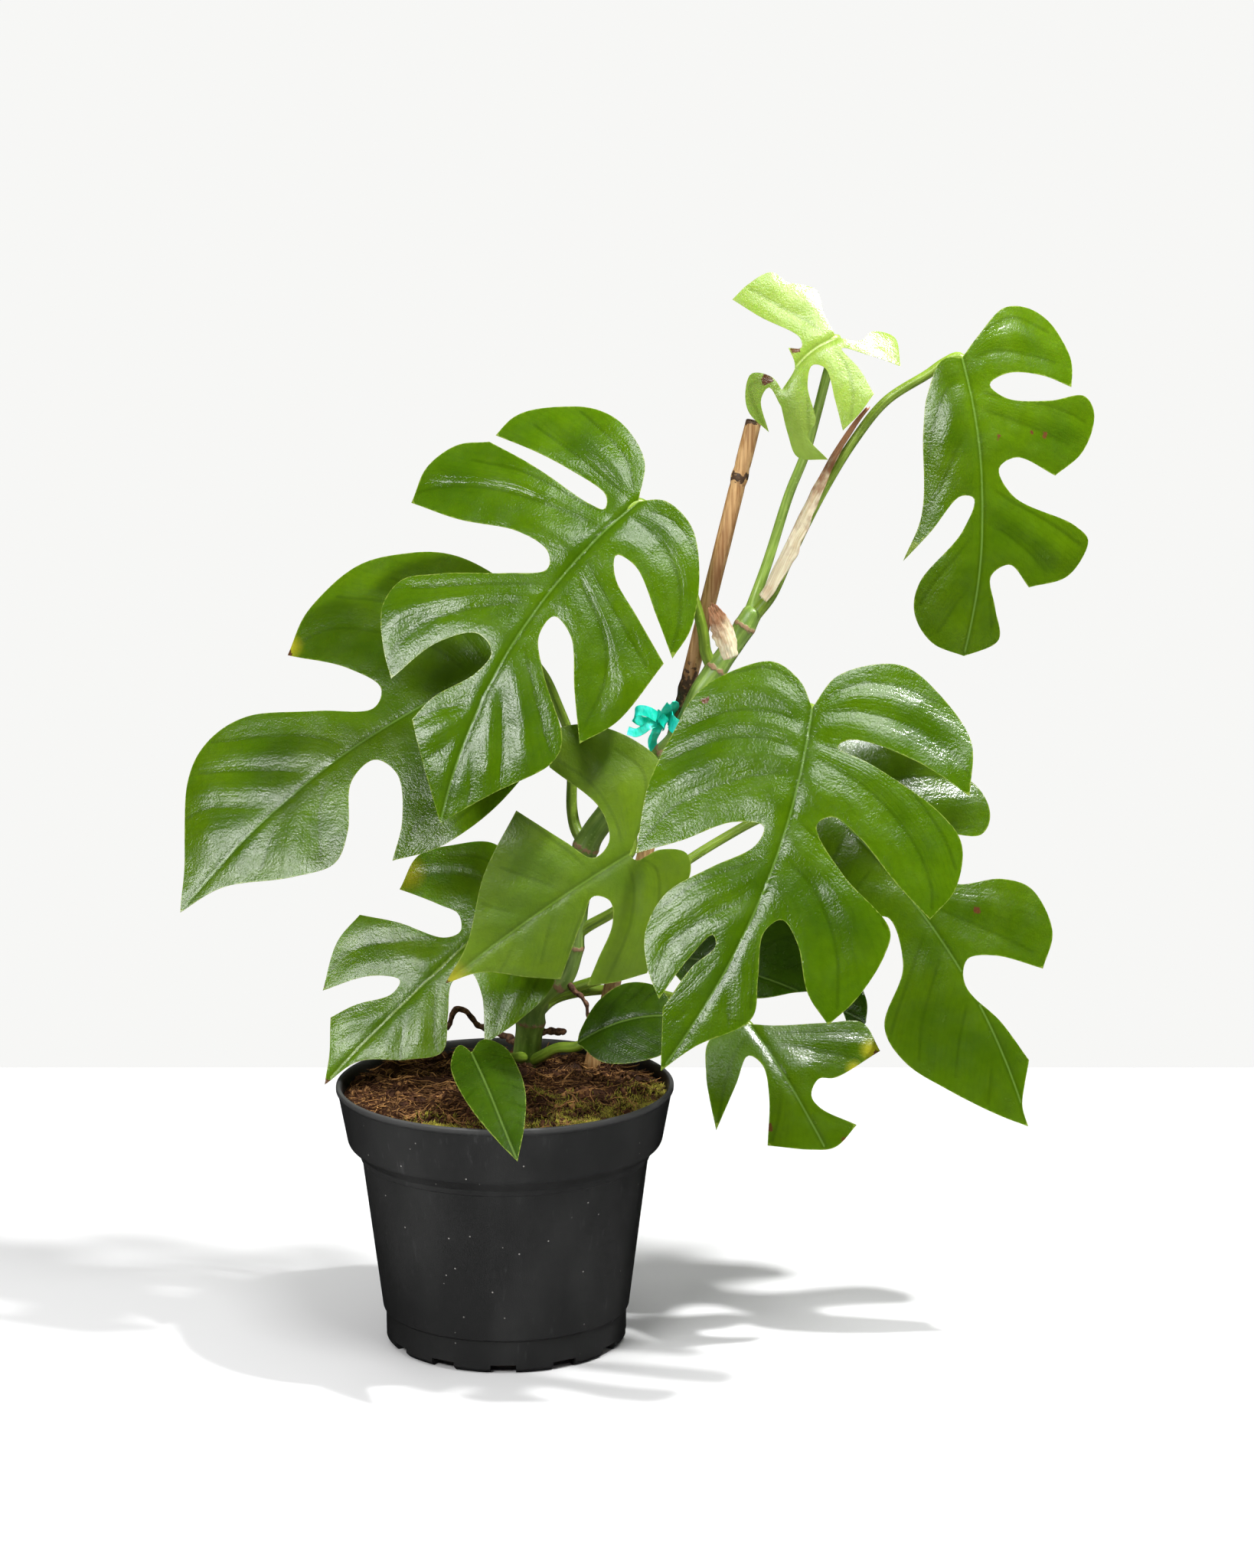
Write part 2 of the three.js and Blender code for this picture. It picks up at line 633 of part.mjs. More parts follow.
function bladeGeometry(leaf) {
  const frame = bladeFrame(leaf);
  const flat = bladeOutline(leaf);
  const edge = flat.length;
  const faces = splitLongEdges(flat, THREE.ShapeUtils.triangulateShape(flat, []));
  const points = [-1, 1].flatMap((side) =>
    flat.map(({ x, y }) =>
      frame.base
        .clone()
        .addScaledVector(frame.along, x)
        .addScaledVector(frame.across, y)
        .addScaledVector(frame.out, bladeRise(leaf, frame.length, x, y) + (side * LEAF_THICKNESS) / 2),
    ),
  );
  const top = flat.length;
  const shell = faces.flatMap(([a, b, c]) => [
    [a, b, c],
    [a + top, c + top, b + top],
  ]);
  for (let i = 0; i < edge; i++) {
    const j = (i + 1) % edge;
    shell.push([j, i, i + top], [j, i + top, j + top]);
  }
  return indexedGeometry(points, shell);
}

// A stalk ends just under the blade, at its base.
function stalkPath(leaf) {
  const { base, out } = bladeFrame(leaf);
  const gap = LEAF_THICKNESS / 2 + STALK_TIP_RADIUS + CLEARANCE;
  return [...leaf.stalk.map(grown), base.addScaledVector(out, -gap)];
}

function stalkSolid(leaf, growth = 0) {
  return solidOf(tube(stalkPath(leaf), STALK_BASE_RADIUS + growth, STALK_TIP_RADIUS + growth));
}

// ---- Sheaths and roots ----

const FORK_SHARE = 0.1 * STALK_BASE_RADIUS - 0.24; // how far along its stalk the fork leaves room for a sheath

// A dried leaf sheath: a thin curved shell along a path, from one share of it to another.
// facing: the way that its back looks. radius: its hollow's. spread: degrees to each side, from end to end.
const SHEATHS = [
  {
    name: "dried_sheath_tall",
    path: stalkPath(LEAVES.find((leaf) => leaf.name === "upper_right")),
    span: [FORK_SHARE, 0.7],
    facing: [-0.75, -0.5, 0.45],
    radius: STALK_BASE_RADIUS + 3 * CLEARANCE,
    spread: [70, 100, 95, 60, 15],
  },
  {
    name: "dried_sheath_short",
    path: [[100, 15, 198], [97, 14, 208], [91, 14, 221]].map(grown),
    span: [0, 1],
    facing: [0.2, -1, 0.2],
    radius: 5,
    spread: [40, 60, 18],
  },
];

function sheathGeometry({ path, span, facing, radius, spread }) {
  const curve = new THREE.CatmullRomCurve3(path, false, "centripetal");
  const steps = 3 * (spread.length - 1);
  const widths = new THREE.SplineCurve(spread.map((degrees, i) => new THREE.Vector2(i, degrees)));
  const rings = [];
  for (let step = 0; step <= steps; step++) {
    const t = step / steps;
    const reached = THREE.MathUtils.lerp(...span, t);
    const centre = curve.getPoint(reached);
    const along = curve.getTangent(reached);
    const back = new THREE.Vector3(...facing);
    back.addScaledVector(along, -back.dot(along)).normalize();
    const side = along.clone().cross(back);
    const half = THREE.MathUtils.degToRad(widths.getPoint(t).y);
    const arc = (reach, from, to) =>
      [0, 0.25, 0.5, 0.75, 1].map((share) => {
        const angle = THREE.MathUtils.lerp(from, to, share);
        return centre
          .clone()
          .addScaledVector(back, reach * Math.cos(angle))
          .addScaledVector(side, reach * Math.sin(angle));
      });
    rings.push([...arc(radius + SHEATH_THICKNESS, -half, half), ...arc(radius, half, -half)]);
  }
  return loft(rings);
}

const ROOTS = [
  {
    name: "aerial_root_left",
    path: [[9, 36, 12], [-3, 43, 16], [-13, 48, 19], [-20, 49, 26], [-24, 49, 25], [-28, 49, 17]],
    radii: [1.6, 1],
  },
  { name: "aerial_root_stub", path: [[10, 33, 20], [19, 33, 21], [27, 31, 20]], radii: [1.9, 1.4] },
  {
    name: "aerial_root_right",
    path: [
      [24, STALK_FRONT_LOW + 3, 49],
      [31, STALK_FRONT_LOW, 43],
      [36, STALK_FRONT_LOW, 36],
      [37, STALK_FRONT_LOW + 1, 30],
    ],
    radii: [1.4, 0.7],
  },
];

// ---- Materials ----

function finish(color, roughness) {
  return new THREE.MeshStandardMaterial({ color, roughness, metalness: 0 });
}

const FINISHES = {
  pot: finish("#2b2b2c", 0.55),
  soil: finish("#3d2716", 0.95),
  leaf: finish("#2f6b12", 0.35),
  newLeaf: finish("#9ccb3a", 0.35),
  stalk: finish("#6f9a2c", 0.45),
  stem: finish("#55803a", 0.5),
  cane: finish("#9a6a3a", 0.6),
  tie: finish("#14b795", 0.4),
  sheath: finish("#cdb493", 0.7),
  root: finish("#4a2f24", 0.8),
};

// ---- Assembly ----

const group = new THREE.Group();

function place(name, geometry, material) {
  const mesh = new THREE.Mesh(geometry, material);
  mesh.name = name;
  group.add(mesh);
}

// A solid with its neighbours' grown solids cut out of it, and only its largest piece kept.
function clearOf(solid, neighbours) {
  const cut = neighbours.reduce((rest, neighbour) => rest.subtract(neighbour), solid);
  const pieces = cut.decompose();
  return pieces.reduce((a, b) => (a.volume() > b.volume() ? a : b));
}

place("nursery_pot", potGeometry(), FINISHES.pot);
place("growing_medium", soilGeometry(), FINISHES.soil);
place("bamboo_cane", geometryOf(caneSolid(0)), FINISHES.cane);
place("main_stem", geometryOf(stemSolid(0)), FINISHES.stem);
place("tie_ribbon", tieGeometry(), FINISHES.tie);

const grownStem = stemSolid(CLEARANCE);
const grownStalks = [];
for (const leaf of LEAVES) {
  const stalk = clearOf(stalkSolid(leaf), [grownStem, ...grownStalks]);
  grownStalks.push(stalkSolid(leaf, CLEARANCE));
  place(`${leaf.name}_stalk`, geometryOf(stalk), FINISHES.stalk);
  place(`${leaf.name}_blade`, bladeGeometry(leaf), leaf.young ? FINISHES.newLeaf : FINISHES.leaf);
}
for (const sheath of SHEATHS) {
  const solid = clearOf(solidOf(sheathGeometry(sheath)), [grownStem, ...grownStalks]);
  place(sheath.name, geometryOf(solid), FINISHES.sheath);
}
for (const { name, path, radii } of ROOTS) {
  const root = clearOf(solidOf(tube(path.map(grown), ...radii, ROOT_SIDES)), [grownStem, ...grownStalks]);
  place(name, geometryOf(root), FINISHES.root);
}

export default group;
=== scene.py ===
"""Looks of a potted mini monstera: pot, coir, cane, stem, leaves, dried sheaths and aerial roots.

Sizes and places are in millimetres and become metres where a mesh is made, apart from the studio's,
which are in metres. Points of the plant are given with x and y from the pot's axis and z from the
growing medium's edge.
"""

import logging
import math
from dataclasses import dataclass, field
from enum import Enum

import bpy
import numpy as np
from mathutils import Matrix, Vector, noise
from mathutils.geometry import delaunay_2d_cdt


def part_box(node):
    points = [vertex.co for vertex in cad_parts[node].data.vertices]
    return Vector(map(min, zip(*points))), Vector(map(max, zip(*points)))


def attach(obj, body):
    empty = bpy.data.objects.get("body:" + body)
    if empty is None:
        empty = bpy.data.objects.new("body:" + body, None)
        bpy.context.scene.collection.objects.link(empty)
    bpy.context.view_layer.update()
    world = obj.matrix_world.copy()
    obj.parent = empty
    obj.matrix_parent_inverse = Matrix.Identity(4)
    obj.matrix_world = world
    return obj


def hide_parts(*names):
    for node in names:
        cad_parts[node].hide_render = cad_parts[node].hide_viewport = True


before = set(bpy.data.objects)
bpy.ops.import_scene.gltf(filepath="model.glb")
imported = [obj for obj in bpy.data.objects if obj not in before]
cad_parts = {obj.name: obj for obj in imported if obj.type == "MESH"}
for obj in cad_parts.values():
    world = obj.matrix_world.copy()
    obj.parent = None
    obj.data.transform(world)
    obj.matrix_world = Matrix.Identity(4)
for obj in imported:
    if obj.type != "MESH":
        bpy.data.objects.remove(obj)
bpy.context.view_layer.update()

LOG = logging.getLogger("potted_monstera")

Point = tuple[float, float, float]
Plan = tuple[float, float]
Colour = tuple[float, float, float]

MM = 0.001
ROOT = "root"
SOIL_DROP = 6.0
POT_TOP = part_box("nursery_pot")[1].z / MM
SOIL_LEVEL = POT_TOP - SOIL_DROP
CURVE_SAMPLES = 14
NUDGE = 0.01
PALE_EDGE = (0.24, 0.30, 0.05)
YELLOWED = (0.36, 0.34, 0.012)
SCORCHED = (0.10, 0.038, 0.012)


# ---- Curves and meshes ----


def smooth_path(points: list, step: float) -> np.ndarray:
    """Runs a centripetal Catmull-Rom curve through points.

    Args:
        points: the points, in two or three dimensions.
        step: the rough distance between the points returned.

    Returns:
        Evenly spaced points along the curve, both ends among them.
    """
    knots = np.asarray(points, float)
    padded = np.vstack([2 * knots[0] - knots[1], knots, 2 * knots[-1] - knots[-2]])
    share = np.linspace(0, 1, CURVE_SAMPLES, endpoint=False)[:, None]
    dense = []
    for a, b, c, d in zip(padded, padded[1:], padded[2:], padded[3:]):
        before, here, after = (max(np.linalg.norm(q - p), 1e-6) ** 0.5 for p, q in ((a, b), (b, c), (c, d)))
        leave = ((b - a) / before - (c - a) / (before + here) + (c - b) / here) * here
        arrive = ((c - b) / here - (d - b) / (here + after) + (d - c) / after) * here
        cubic = 2 * b - 2 * c + leave + arrive
        square = 3 * c - 3 * b - 2 * leave - arrive
        dense.append(b + leave * share + square * share**2 + cubic * share**3)
    dense = np.vstack([*dense, knots[-1:]])
    reach = np.concatenate([[0], np.cumsum(np.linalg.norm(np.diff(dense, axis=0), axis=1))])
    marks = np.linspace(0, reach[-1], max(2, round(reach[-1] / step)) + 1)
    return np.stack([np.interp(marks, reach, dense[:, axis]) for axis in range(dense.shape[1])], axis=1)


def grown(points: list) -> np.ndarray:
    """Lifts points of the plant, in millimetres, into the object's own frame."""
    return np.asarray(points, float) + (0, 0, SOIL_LEVEL)


def unit(vector: np.ndarray) -> np.ndarray:
    """Returns a vector, or a row of vectors, at length one."""
    return vector / np.maximum(np.linalg.norm(vector, axis=-1, keepdims=True), 1e-9)


def ripple(points: np.ndarray, size: float, seed: float = 0.0) -> np.ndarray:
    """Gives smooth noise, about -1 to 1, at points in millimetres, with bumps of the given size."""
    shift = Vector((seed,) * 3)
    return 1.6 * np.array([noise.noise(Vector((*point, seed)[:3]) / size + shift) for point in points])


def hump(distance: np.ndarray, width: object) -> np.ndarray:
    """Gives 1 where a distance is nothing, falling smoothly to 0 past a width."""
    return np.exp(-((distance / width) ** 2))


def make_piece(name: str, points: np.ndarray, faces: list, crease: float | None = None) -> bpy.types.Object:
    """Makes a smooth-shaded object.

    Args:
        name: the piece's name.
        points: its points in millimetres.
        faces: its faces, as point numbers.
        crease: the angle in degrees past which an edge stays sharp, or None.

    Returns:
        The object, in the scene.
    """
    mesh = bpy.data.meshes.new(name)
    mesh.from_pydata((np.asarray(points) * MM).tolist(), [], [tuple(map(int, face)) for face in faces])
    mesh.polygons.foreach_set("use_smooth", [True] * len(mesh.polygons))
    if crease is not None:
        mesh.set_sharp_from_angle(angle=math.radians(crease))
    mesh.update()
    piece = bpy.data.objects.new(name, mesh)
    bpy.context.scene.collection.objects.link(piece)
    return piece


def mark(piece: bpy.types.Object, name: str, values: np.ndarray) -> None:
    """Stores one number for each point of a piece, for its material to read."""
    layer = piece.data.attributes.new(name, "FLOAT", "POINT")
    layer.data.foreach_set("value", np.asarray(values, dtype=np.float32))


def install(piece: bpy.types.Object, finish: bpy.types.Material, slot: str, *nodes: str) -> None:
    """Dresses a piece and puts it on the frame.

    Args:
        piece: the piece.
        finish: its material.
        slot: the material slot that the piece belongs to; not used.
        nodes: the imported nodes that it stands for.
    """
    piece.data.materials.append(finish)
    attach(piece, ROOT)
    if nodes:
        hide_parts(*nodes)
    LOG.info("%s: %d faces", piece.name, len(piece.data.polygons))


def ring_faces(rings: int, sides: int, closed: bool = False) -> list:
    """Joins rings of points into a tube.

    Args:
        rings: how many rings there are.
        sides: how many points each of them has.
        closed: whether the last ring joins up with the first.

    Returns:
        The tube's faces, as point numbers.
    """
    faces = []
    for ring in range(rings if closed else rings - 1):
        on = (ring + 1) % rings
        for i in range(sides):
            j = (i + 1) % sides
            faces.append((ring * sides + i, ring * sides + j, on * sides + j, on * sides + i))
    return faces


def repeated(pattern: list, size: int, count: int) -> list:
    """Repeats the faces of a small body of so many points for each of a count of such bodies."""
    return [tuple(i + body * size for i in face) for body in range(count) for face in pattern]


def sweep(path: np.ndarray, radii: np.ndarray, sides: int, shape: np.ndarray | None = None) -> tuple:
    """Skins a round rod along a path.

    Args:
        path: the rod's centres.
        radii: its radius at each of them.
        sides: how many points go round it.
        shape: factors on the radius, one row for each centre and one column for each side, or None.

    Returns:
        Its points, its faces, each point's distance along the rod and its share of a turn round it.
    """
    ahead = unit(np.gradient(path, axis=0))
    side = unit(np.cross(ahead[0], (0.31, 0.12, 0.94) if abs(ahead[0][2]) < 0.9 else (1.0, 0.2, 0.1)))
    turns = np.linspace(0, 2 * math.pi, sides, endpoint=False)
    rings = []
    for i, (centre, direction) in enumerate(zip(path, ahead)):
        side = unit(side - direction * side.dot(direction))
        other = np.cross(direction, side)
        factor = radii[i] * (shape[i] if shape is not None else np.ones(sides))
        ring = np.outer(np.cos(turns) * factor, side) + np.outer(np.sin(turns) * factor, other)
        rings.append(centre + ring)
    points = np.vstack(rings)
    faces = ring_faces(len(path), sides)
    last = (len(path) - 1) * sides
    faces.append(tuple(range(sides))[::-1])
    faces.append(tuple(last + i for i in range(sides)))
    reach = np.concatenate([[0], np.cumsum(np.linalg.norm(np.diff(path, axis=0), axis=1))])
    return points, faces, np.repeat(reach, sides), np.tile(turns / (2 * math.pi), len(path))


def rounded(corners: list[Plan], radius: float, steps: int = 4) -> list[Plan]:
    """Rounds the inner corners of a profile with short curves, and leaves its two ends.

    Args:
        corners: the profile's corners, as radius and height.
        radius: how far from a corner its curve starts.
        steps: how many short lines a curve has.

    Returns:
        The profile with its inner corners rounded.
    """
    rounded_points = [corners[0]]
    for before, corner, after in zip(corners, corners[1:], corners[2:]):
        here = np.array(corner, float)
        back, on = np.array(before) - here, np.array(after) - here
        cut = min(radius, 0.45 * np.linalg.norm(back), 0.45 * np.linalg.norm(on))
        start, end = here + unit(back) * cut, here + unit(on) * cut
        for share in np.linspace(0, 1, steps + 1):
            point = start * (1 - share) ** 2 + here * 2 * share * (1 - share) + end * share**2
            rounded_points.append((float(point[0]), float(point[1])))
    return [*rounded_points, corners[-1]]


def turned(profile: list[Plan], sides: int) -> tuple[np.ndarray, list]:
    """Turns a profile of radius and height about the vertical axis; it starts and ends on the axis.

    Args:
        profile: points of radius and height.
        sides: how many points go round.

    Returns:
        The points and the faces of a closed body.
    """
    turns = np.linspace(0, 2 * math.pi, sides, endpoint=False)
    circle = np.stack([np.cos(turns), np.sin(turns)], axis=1)
    rings = [np.column_stack([r * circle, np.full(sides, z)]) for r, z in profile[1:-1]]
    points = np.vstack([*rings, [(0, 0, profile[0][1])], [(0, 0, profile[-1][1])]])
    faces = ring_faces(len(rings), sides)
    first, last, top = len(points) - 2, len(points) - 1, (len(rings) - 1) * sides
    for i in range(sides):
        j = (i + 1) % sides
        faces.append((first, j, i))
        faces.append((last, top + i, top + j))
    return points, faces


# ---- Shading ----


class Shader:
    """A material's node tree, with short calls for the nodes that the finishes share."""

    def __init__(self, name: str, **sockets: float) -> None:
        """Starts a material whose uniform values are set on its surface shader's own sockets.

        Args:
            name: the material's name.
            sockets: values for the surface shader's sockets, with _ for a space.
        """
        self.material = bpy.data.materials.new(name)
        self.material.use_nodes = True
        self.tree = self.material.node_tree
        self.surface = self.tree.nodes["Principled BSDF"]
        for socket, value in sockets.items():
            self.surface.inputs[socket.replace("_", " ")].default_value = value

    def add(self, kind: str, **values: object) -> bpy.types.Node:
        """Adds a node and sets its properties.

        Args:
            kind: the node's type.
            values: its properties.

        Returns:
            The node.
        """
        node = self.tree.nodes.new(kind)
        for key, value in values.items():
            setattr(node, key, value)
        return node

    def feed(self, socket: bpy.types.NodeSocket, value: object) -> None:
        """Links a socket to another, or sets its value.

        Args:
            socket: the socket to fill.
            value: another socket, a colour or a number.
        """
        if isinstance(value, bpy.types.NodeSocket):
            self.tree.links.new(value, socket)
        elif isinstance(value, tuple) and len(value) == 3 and socket.type == "RGBA":
            socket.default_value = (*value, 1)
        else:
            socket.default_value = value

    def place(self, scale: Point = (1, 1, 1)) -> bpy.types.NodeSocket:
        """Gives the place on the piece in millimetres, times a factor along each axis.

        Args:
            scale: a factor along each axis.

        Returns:
            The socket that gives the place.
        """
        node = self.add("ShaderNodeMapping")
        self.feed(node.inputs["Vector"], self.add("ShaderNodeTexCoord").outputs["Object"])
        node.inputs["Scale"].default_value = tuple(factor / MM for factor in scale)
        return node.outputs["Vector"]

    def noise(
        self, size: float, detail: float = 4.0, at: object = None, stretch: Point = (1, 1, 1)
    ) -> object:
        """Gives noise of about 0 to 1 with features of a size in millimetres.

        Args:
            size: the size of its features in millimetres.
            detail: how many finer layers it has.
            at: where it is read, or None for the place on the piece.
            stretch: a factor on that place along each axis.

        Returns:
            The socket that gives the noise.
        """
        node = self.add("ShaderNodeTexNoise")
        self.feed(node.inputs["Vector"], at if at is not None else self.place(stretch))
        node.inputs["Scale"].default_value = 1 / size
        node.inputs["Detail"].default_value = detail
        return node.outputs["Fac"]

    def cells(self, size: float, feature: str = "F1") -> object:
        """Gives the distance to the nearest of scattered cells of a size in millimetres.

        Args:
            size: the size of a cell in millimetres.
            feature: which distance is measured.

        Returns:
            The socket that gives the distance.
        """
        node = self.add("ShaderNodeTexVoronoi", feature=feature)
        self.feed(node.inputs["Vector"], self.place())
        node.inputs["Scale"].default_value = 1 / size
        return node.outputs["Distance"]

    def read(self, name: str) -> object:
        """Gives a number stored on the mesh."""
        return self.add("ShaderNodeAttribute", attribute_name=name).outputs["Fac"]

    def maths(self, operation: str, a: object, b: object = 0.0) -> object:
        """Gives the result of one sum on two values.

        Args:
            operation: the kind of sum.
            a: the first value.
            b: the second value.

        Returns:
            The socket that gives the result.
        """
        node = self.add("ShaderNodeMath", operation=operation)
        self.feed(node.inputs[0], a)
        self.feed(node.inputs[1], b)
        return node.outputs[0]

    def times(self, a: object, b: object) -> object:
        """Multiplies two values."""
        return self.maths("MULTIPLY", a, b)

    def plus(self, a: object, b: object) -> object:
        """Adds two values."""
        return self.maths("ADD", a, b)

    def fibres(self, stretch: float, count: float) -> object:
        """Draws fine streaks along a rod or a shell, from the places stored on it.

        Args:
            stretch: a factor on the place along it.
            count: how many streaks there are to a turn round it.

        Returns:
            The socket that gives the streaks.
        """
        along = self.add("ShaderNodeCombineXYZ")
        self.feed(along.inputs[0], self.times(self.read("along"), stretch))
        self.feed(along.inputs[1], self.times(self.read("around"), count))
        return self.noise(1.0, 4, along.outputs[0])

    def span(self, value: object, low: float, high: float, start: float = 0.0, end: float = 1.0) -> object:
        """Maps a value from one range to another, smoothly and clamped.

        Args:
            value: the value to map.
            low: where its range starts.
            high: where its range ends.
            start: the result at and below the low end.
            end: the result at and above the high end.

        Returns:
            The socket that gives the result.
        """
        node = self.add("ShaderNodeMapRange", interpolation_type="SMOOTHSTEP")
        names = ("Value", "From Min", "From Max", "To Min", "To Max")
        for name, number in zip(names, (value, low, high, start, end)):
            self.feed(node.inputs[name], number)
        return node.outputs["Result"]

    def mix(self, factor: object, a: object, b: object) -> object:
        """Mixes two colours.

        Args:
            factor: 0 for the first colour and 1 for the second.
            a: the first colour.
            b: the second colour.

        Returns:
            The socket that gives the mixed colour.
        """
        node = self.add("ShaderNodeMix", data_type="RGBA")
        colours = [socket for socket in node.inputs if socket.type == "RGBA"]
        self.feed(node.inputs["Factor"], factor)
        self.feed(colours[0], a)
        self.feed(colours[1], b)
        return next(socket for socket in node.outputs if socket.type == "RGBA")

    def relief(self, height: object, depth: float, under: object = None) -> object:
        """Turns a height of 0 to 1 into a bump of a depth in millimetres, over an earlier one if given.

        Args:
            height: the height, 0 to 1.
            depth: how deep 1 is, in millimetres.
            under: the relief that this one lies on, or None.

        Returns:
            The socket that gives the bent normal.
        """
        node = self.add("ShaderNodeBump")
        node.inputs["Distance"].default_value = depth * MM
        self.feed(node.inputs["Height"], height)
        if under is not None:
            self.feed(node.inputs["Normal"], under)
        return node.outputs["Normal"]

    def finish(self, colour: object, roughness: object = None, normal: object = None) -> bpy.types.Material:
        """Wires the surface and returns the material.

        Args:
            colour: a colour, or the socket that gives it.
            roughness: the socket that gives the roughness, or None.
            normal: the socket that gives the relief, or None.

        Returns:
            The material.
        """
        self.feed(self.surface.inputs["Base Color"], colour)
        if roughness is not None:
            self.feed(self.surface.inputs["Roughness"], roughness)
        if normal is not None:
            self.feed(self.surface.inputs["Normal"], normal)
        return self.material


@dataclass(frozen=True)
class LeafFinish:
    """The skin of a leaf: its greens, its gloss and how strongly its veinlets show."""

    name: str
    green: Colour
    bright: Colour
    vein: Colour
    gloss: float
    veinlets: float
    glow: float = 0.12

    def ridges(self, s: Shader, clear: object) -> object:
        """Draws the fine veinlets that run between the side veins.

        Args:
            s: the material that is being made.
            clear: a value of 0 at the midrib and 1 away from it.

        Returns:
            The socket that gives 1 on a veinlet and 0 between two.
        """
        wander = s.plus(s.times(s.read("flow"), 6.0), s.times(s.noise(12, 3), 1.6))
        halfway = s.maths("ABSOLUTE", s.maths("SUBTRACT", s.maths("FRACT", wander), 0.5))
        return s.times(s.span(halfway, 0.2, 0.5), clear)

    def material(self) -> bpy.types.Material:
        """Builds the leaf material, which reads the distances stored on each blade.

        Returns:
            The material.
        """
        s = Shader(
            f"{self.name}_leaf",
            Subsurface_Weight=self.glow,
            Subsurface_Scale=1.2 * MM,
            Specular_IOR_Level=0.45,
        )
        s.surface.inputs["Subsurface Radius"].default_value = (0.5, 1.0, 0.12)
        rib, vein, edge, upper = (s.read(name) for name in ("rib", "vein", "edge", "upper"))
        # A darker green for the random mottle and the veinlets, also used as painted shade in the vein and
        # midrib grooves.
        deep = tuple(0.55 * c for c in self.green)
        underside = tuple(1.6 * c + 0.02 for c in self.bright)
        mottle = s.noise(3.2, 5)
        clear = s.span(rib, 2, 11)
        ridge = self.ridges(s, clear)
        leaf = s.mix(s.span(s.noise(30, 3), 0.3, 0.7), self.green, self.bright)
        leaf = s.mix(s.span(edge, 0, 13, 0.45, 0), leaf, self.bright)
        leaf = s.mix(s.span(mottle, 0.3, 0.75, 0, 0.18), leaf, deep)
        leaf = s.mix(s.times(ridge, 0.10 * self.veinlets), leaf, deep)
        # Painted shade: darker green in the grooves of the side veins and on both sides of the midrib's
        # groove.
        leaf = s.mix(s.times(s.span(vein, 0.2, 1.3, 0.35, 0), clear), leaf, deep)
        leaf = s.mix(s.span(rib, 0.6, 2.2, 0.4, 0), leaf, deep)
        leaf = s.mix(s.span(rib, 0.15, 0.7, 0.75, 0), leaf, self.vein)
        leaf = s.mix(s.span(upper, 0.2, 0.8, 0.7, 0), leaf, underside)
        ragged = s.plus(edge, s.span(s.noise(2.0, 3), 0.3, 0.7, -0.2, 0.3))
        leaf = s.mix(s.span(ragged, 0.1, 0.5, 0.6, 0), leaf, PALE_EDGE)
        leaf = s.mix(s.read("yellow"), leaf, YELLOWED)
        scorch = s.plus(s.read("brown"), s.span(s.noise(2.4, 4), 0.3, 0.7, -0.3, 0.3))
        leaf = s.mix(s.span(scorch, 0.4, 0.6), leaf, SCORCHED)
        veined = s.plus(s.times(ridge, -0.07 * self.veinlets), s.times(mottle, 0.35))
        leather = s.plus(s.times(s.noise(1.0, 4), 0.38), s.times(s.noise(9, 2), 0.5))
        patchy = s.span(s.noise(9, 4), 0.3, 0.7, self.gloss - 0.04, self.gloss + 0.07)
        rough = s.plus(patchy, s.span(upper, 0.2, 0.8, 0.22, 0))
        return s.finish(leaf, rough, s.relief(s.plus(veined, leather), 0.38))


@dataclass(frozen=True)
class StalkFinish:
    """A smooth green stalk or stem, with fine streaks along it and brown scars where it is marked."""

    name: str
    green: Colour
    pale: Colour
    scar: Colour = (0.23, 0.12, 0.05)

    def material(self) -> bpy.types.Material:
        """Builds the material, which reads the places stored on each rod.

        Returns:
            The material.
        """
        s = Shader(
            self.name,
            Subsurface_Weight=0.1,
            Subsurface_Scale=1.5 * MM,
            Coat_Weight=0.1,
            Coat_Roughness=0.3,
        )
        s.surface.inputs["Subsurface Radius"].default_value = (0.5, 1.0, 0.15)
        streak = s.fibres(0.06, 16.0)
        skin = s.mix(s.span(streak, 0.3, 0.7), self.green, self.pale)
        skin = s.mix(s.span(s.noise(11, 3), 0.35, 0.7, 0, 0.4), skin, tuple(0.6 * c for c in self.green))
        flecks = s.span(s.cells(2.6), 0.1, 0.22, 0.35, 0)
        skin = s.mix(flecks, skin, tuple(min(1.0, 1.35 * c + 0.03) for c in self.pale))
        scar = s.plus(s.read("scar"), s.span(s.noise(2.0, 4), 0.3, 0.7, -0.28, 0.28))
        cork = s.mix(s.noise(1.6, 3), self.scar, (0.42, 0.28, 0.15))
        skin = s.mix(s.span(scar, 0.35, 0.75), skin, cork)
        bumps = s.relief(s.plus(s.times(streak, 0.6), s.span(scar, 0.3, 0.8)), 0.22)
        return s.finish(skin, s.span(scar, 0.3, 0.8, 0.36, 0.75), s.relief(s.noise(0.8, 3), 0.05, bumps))


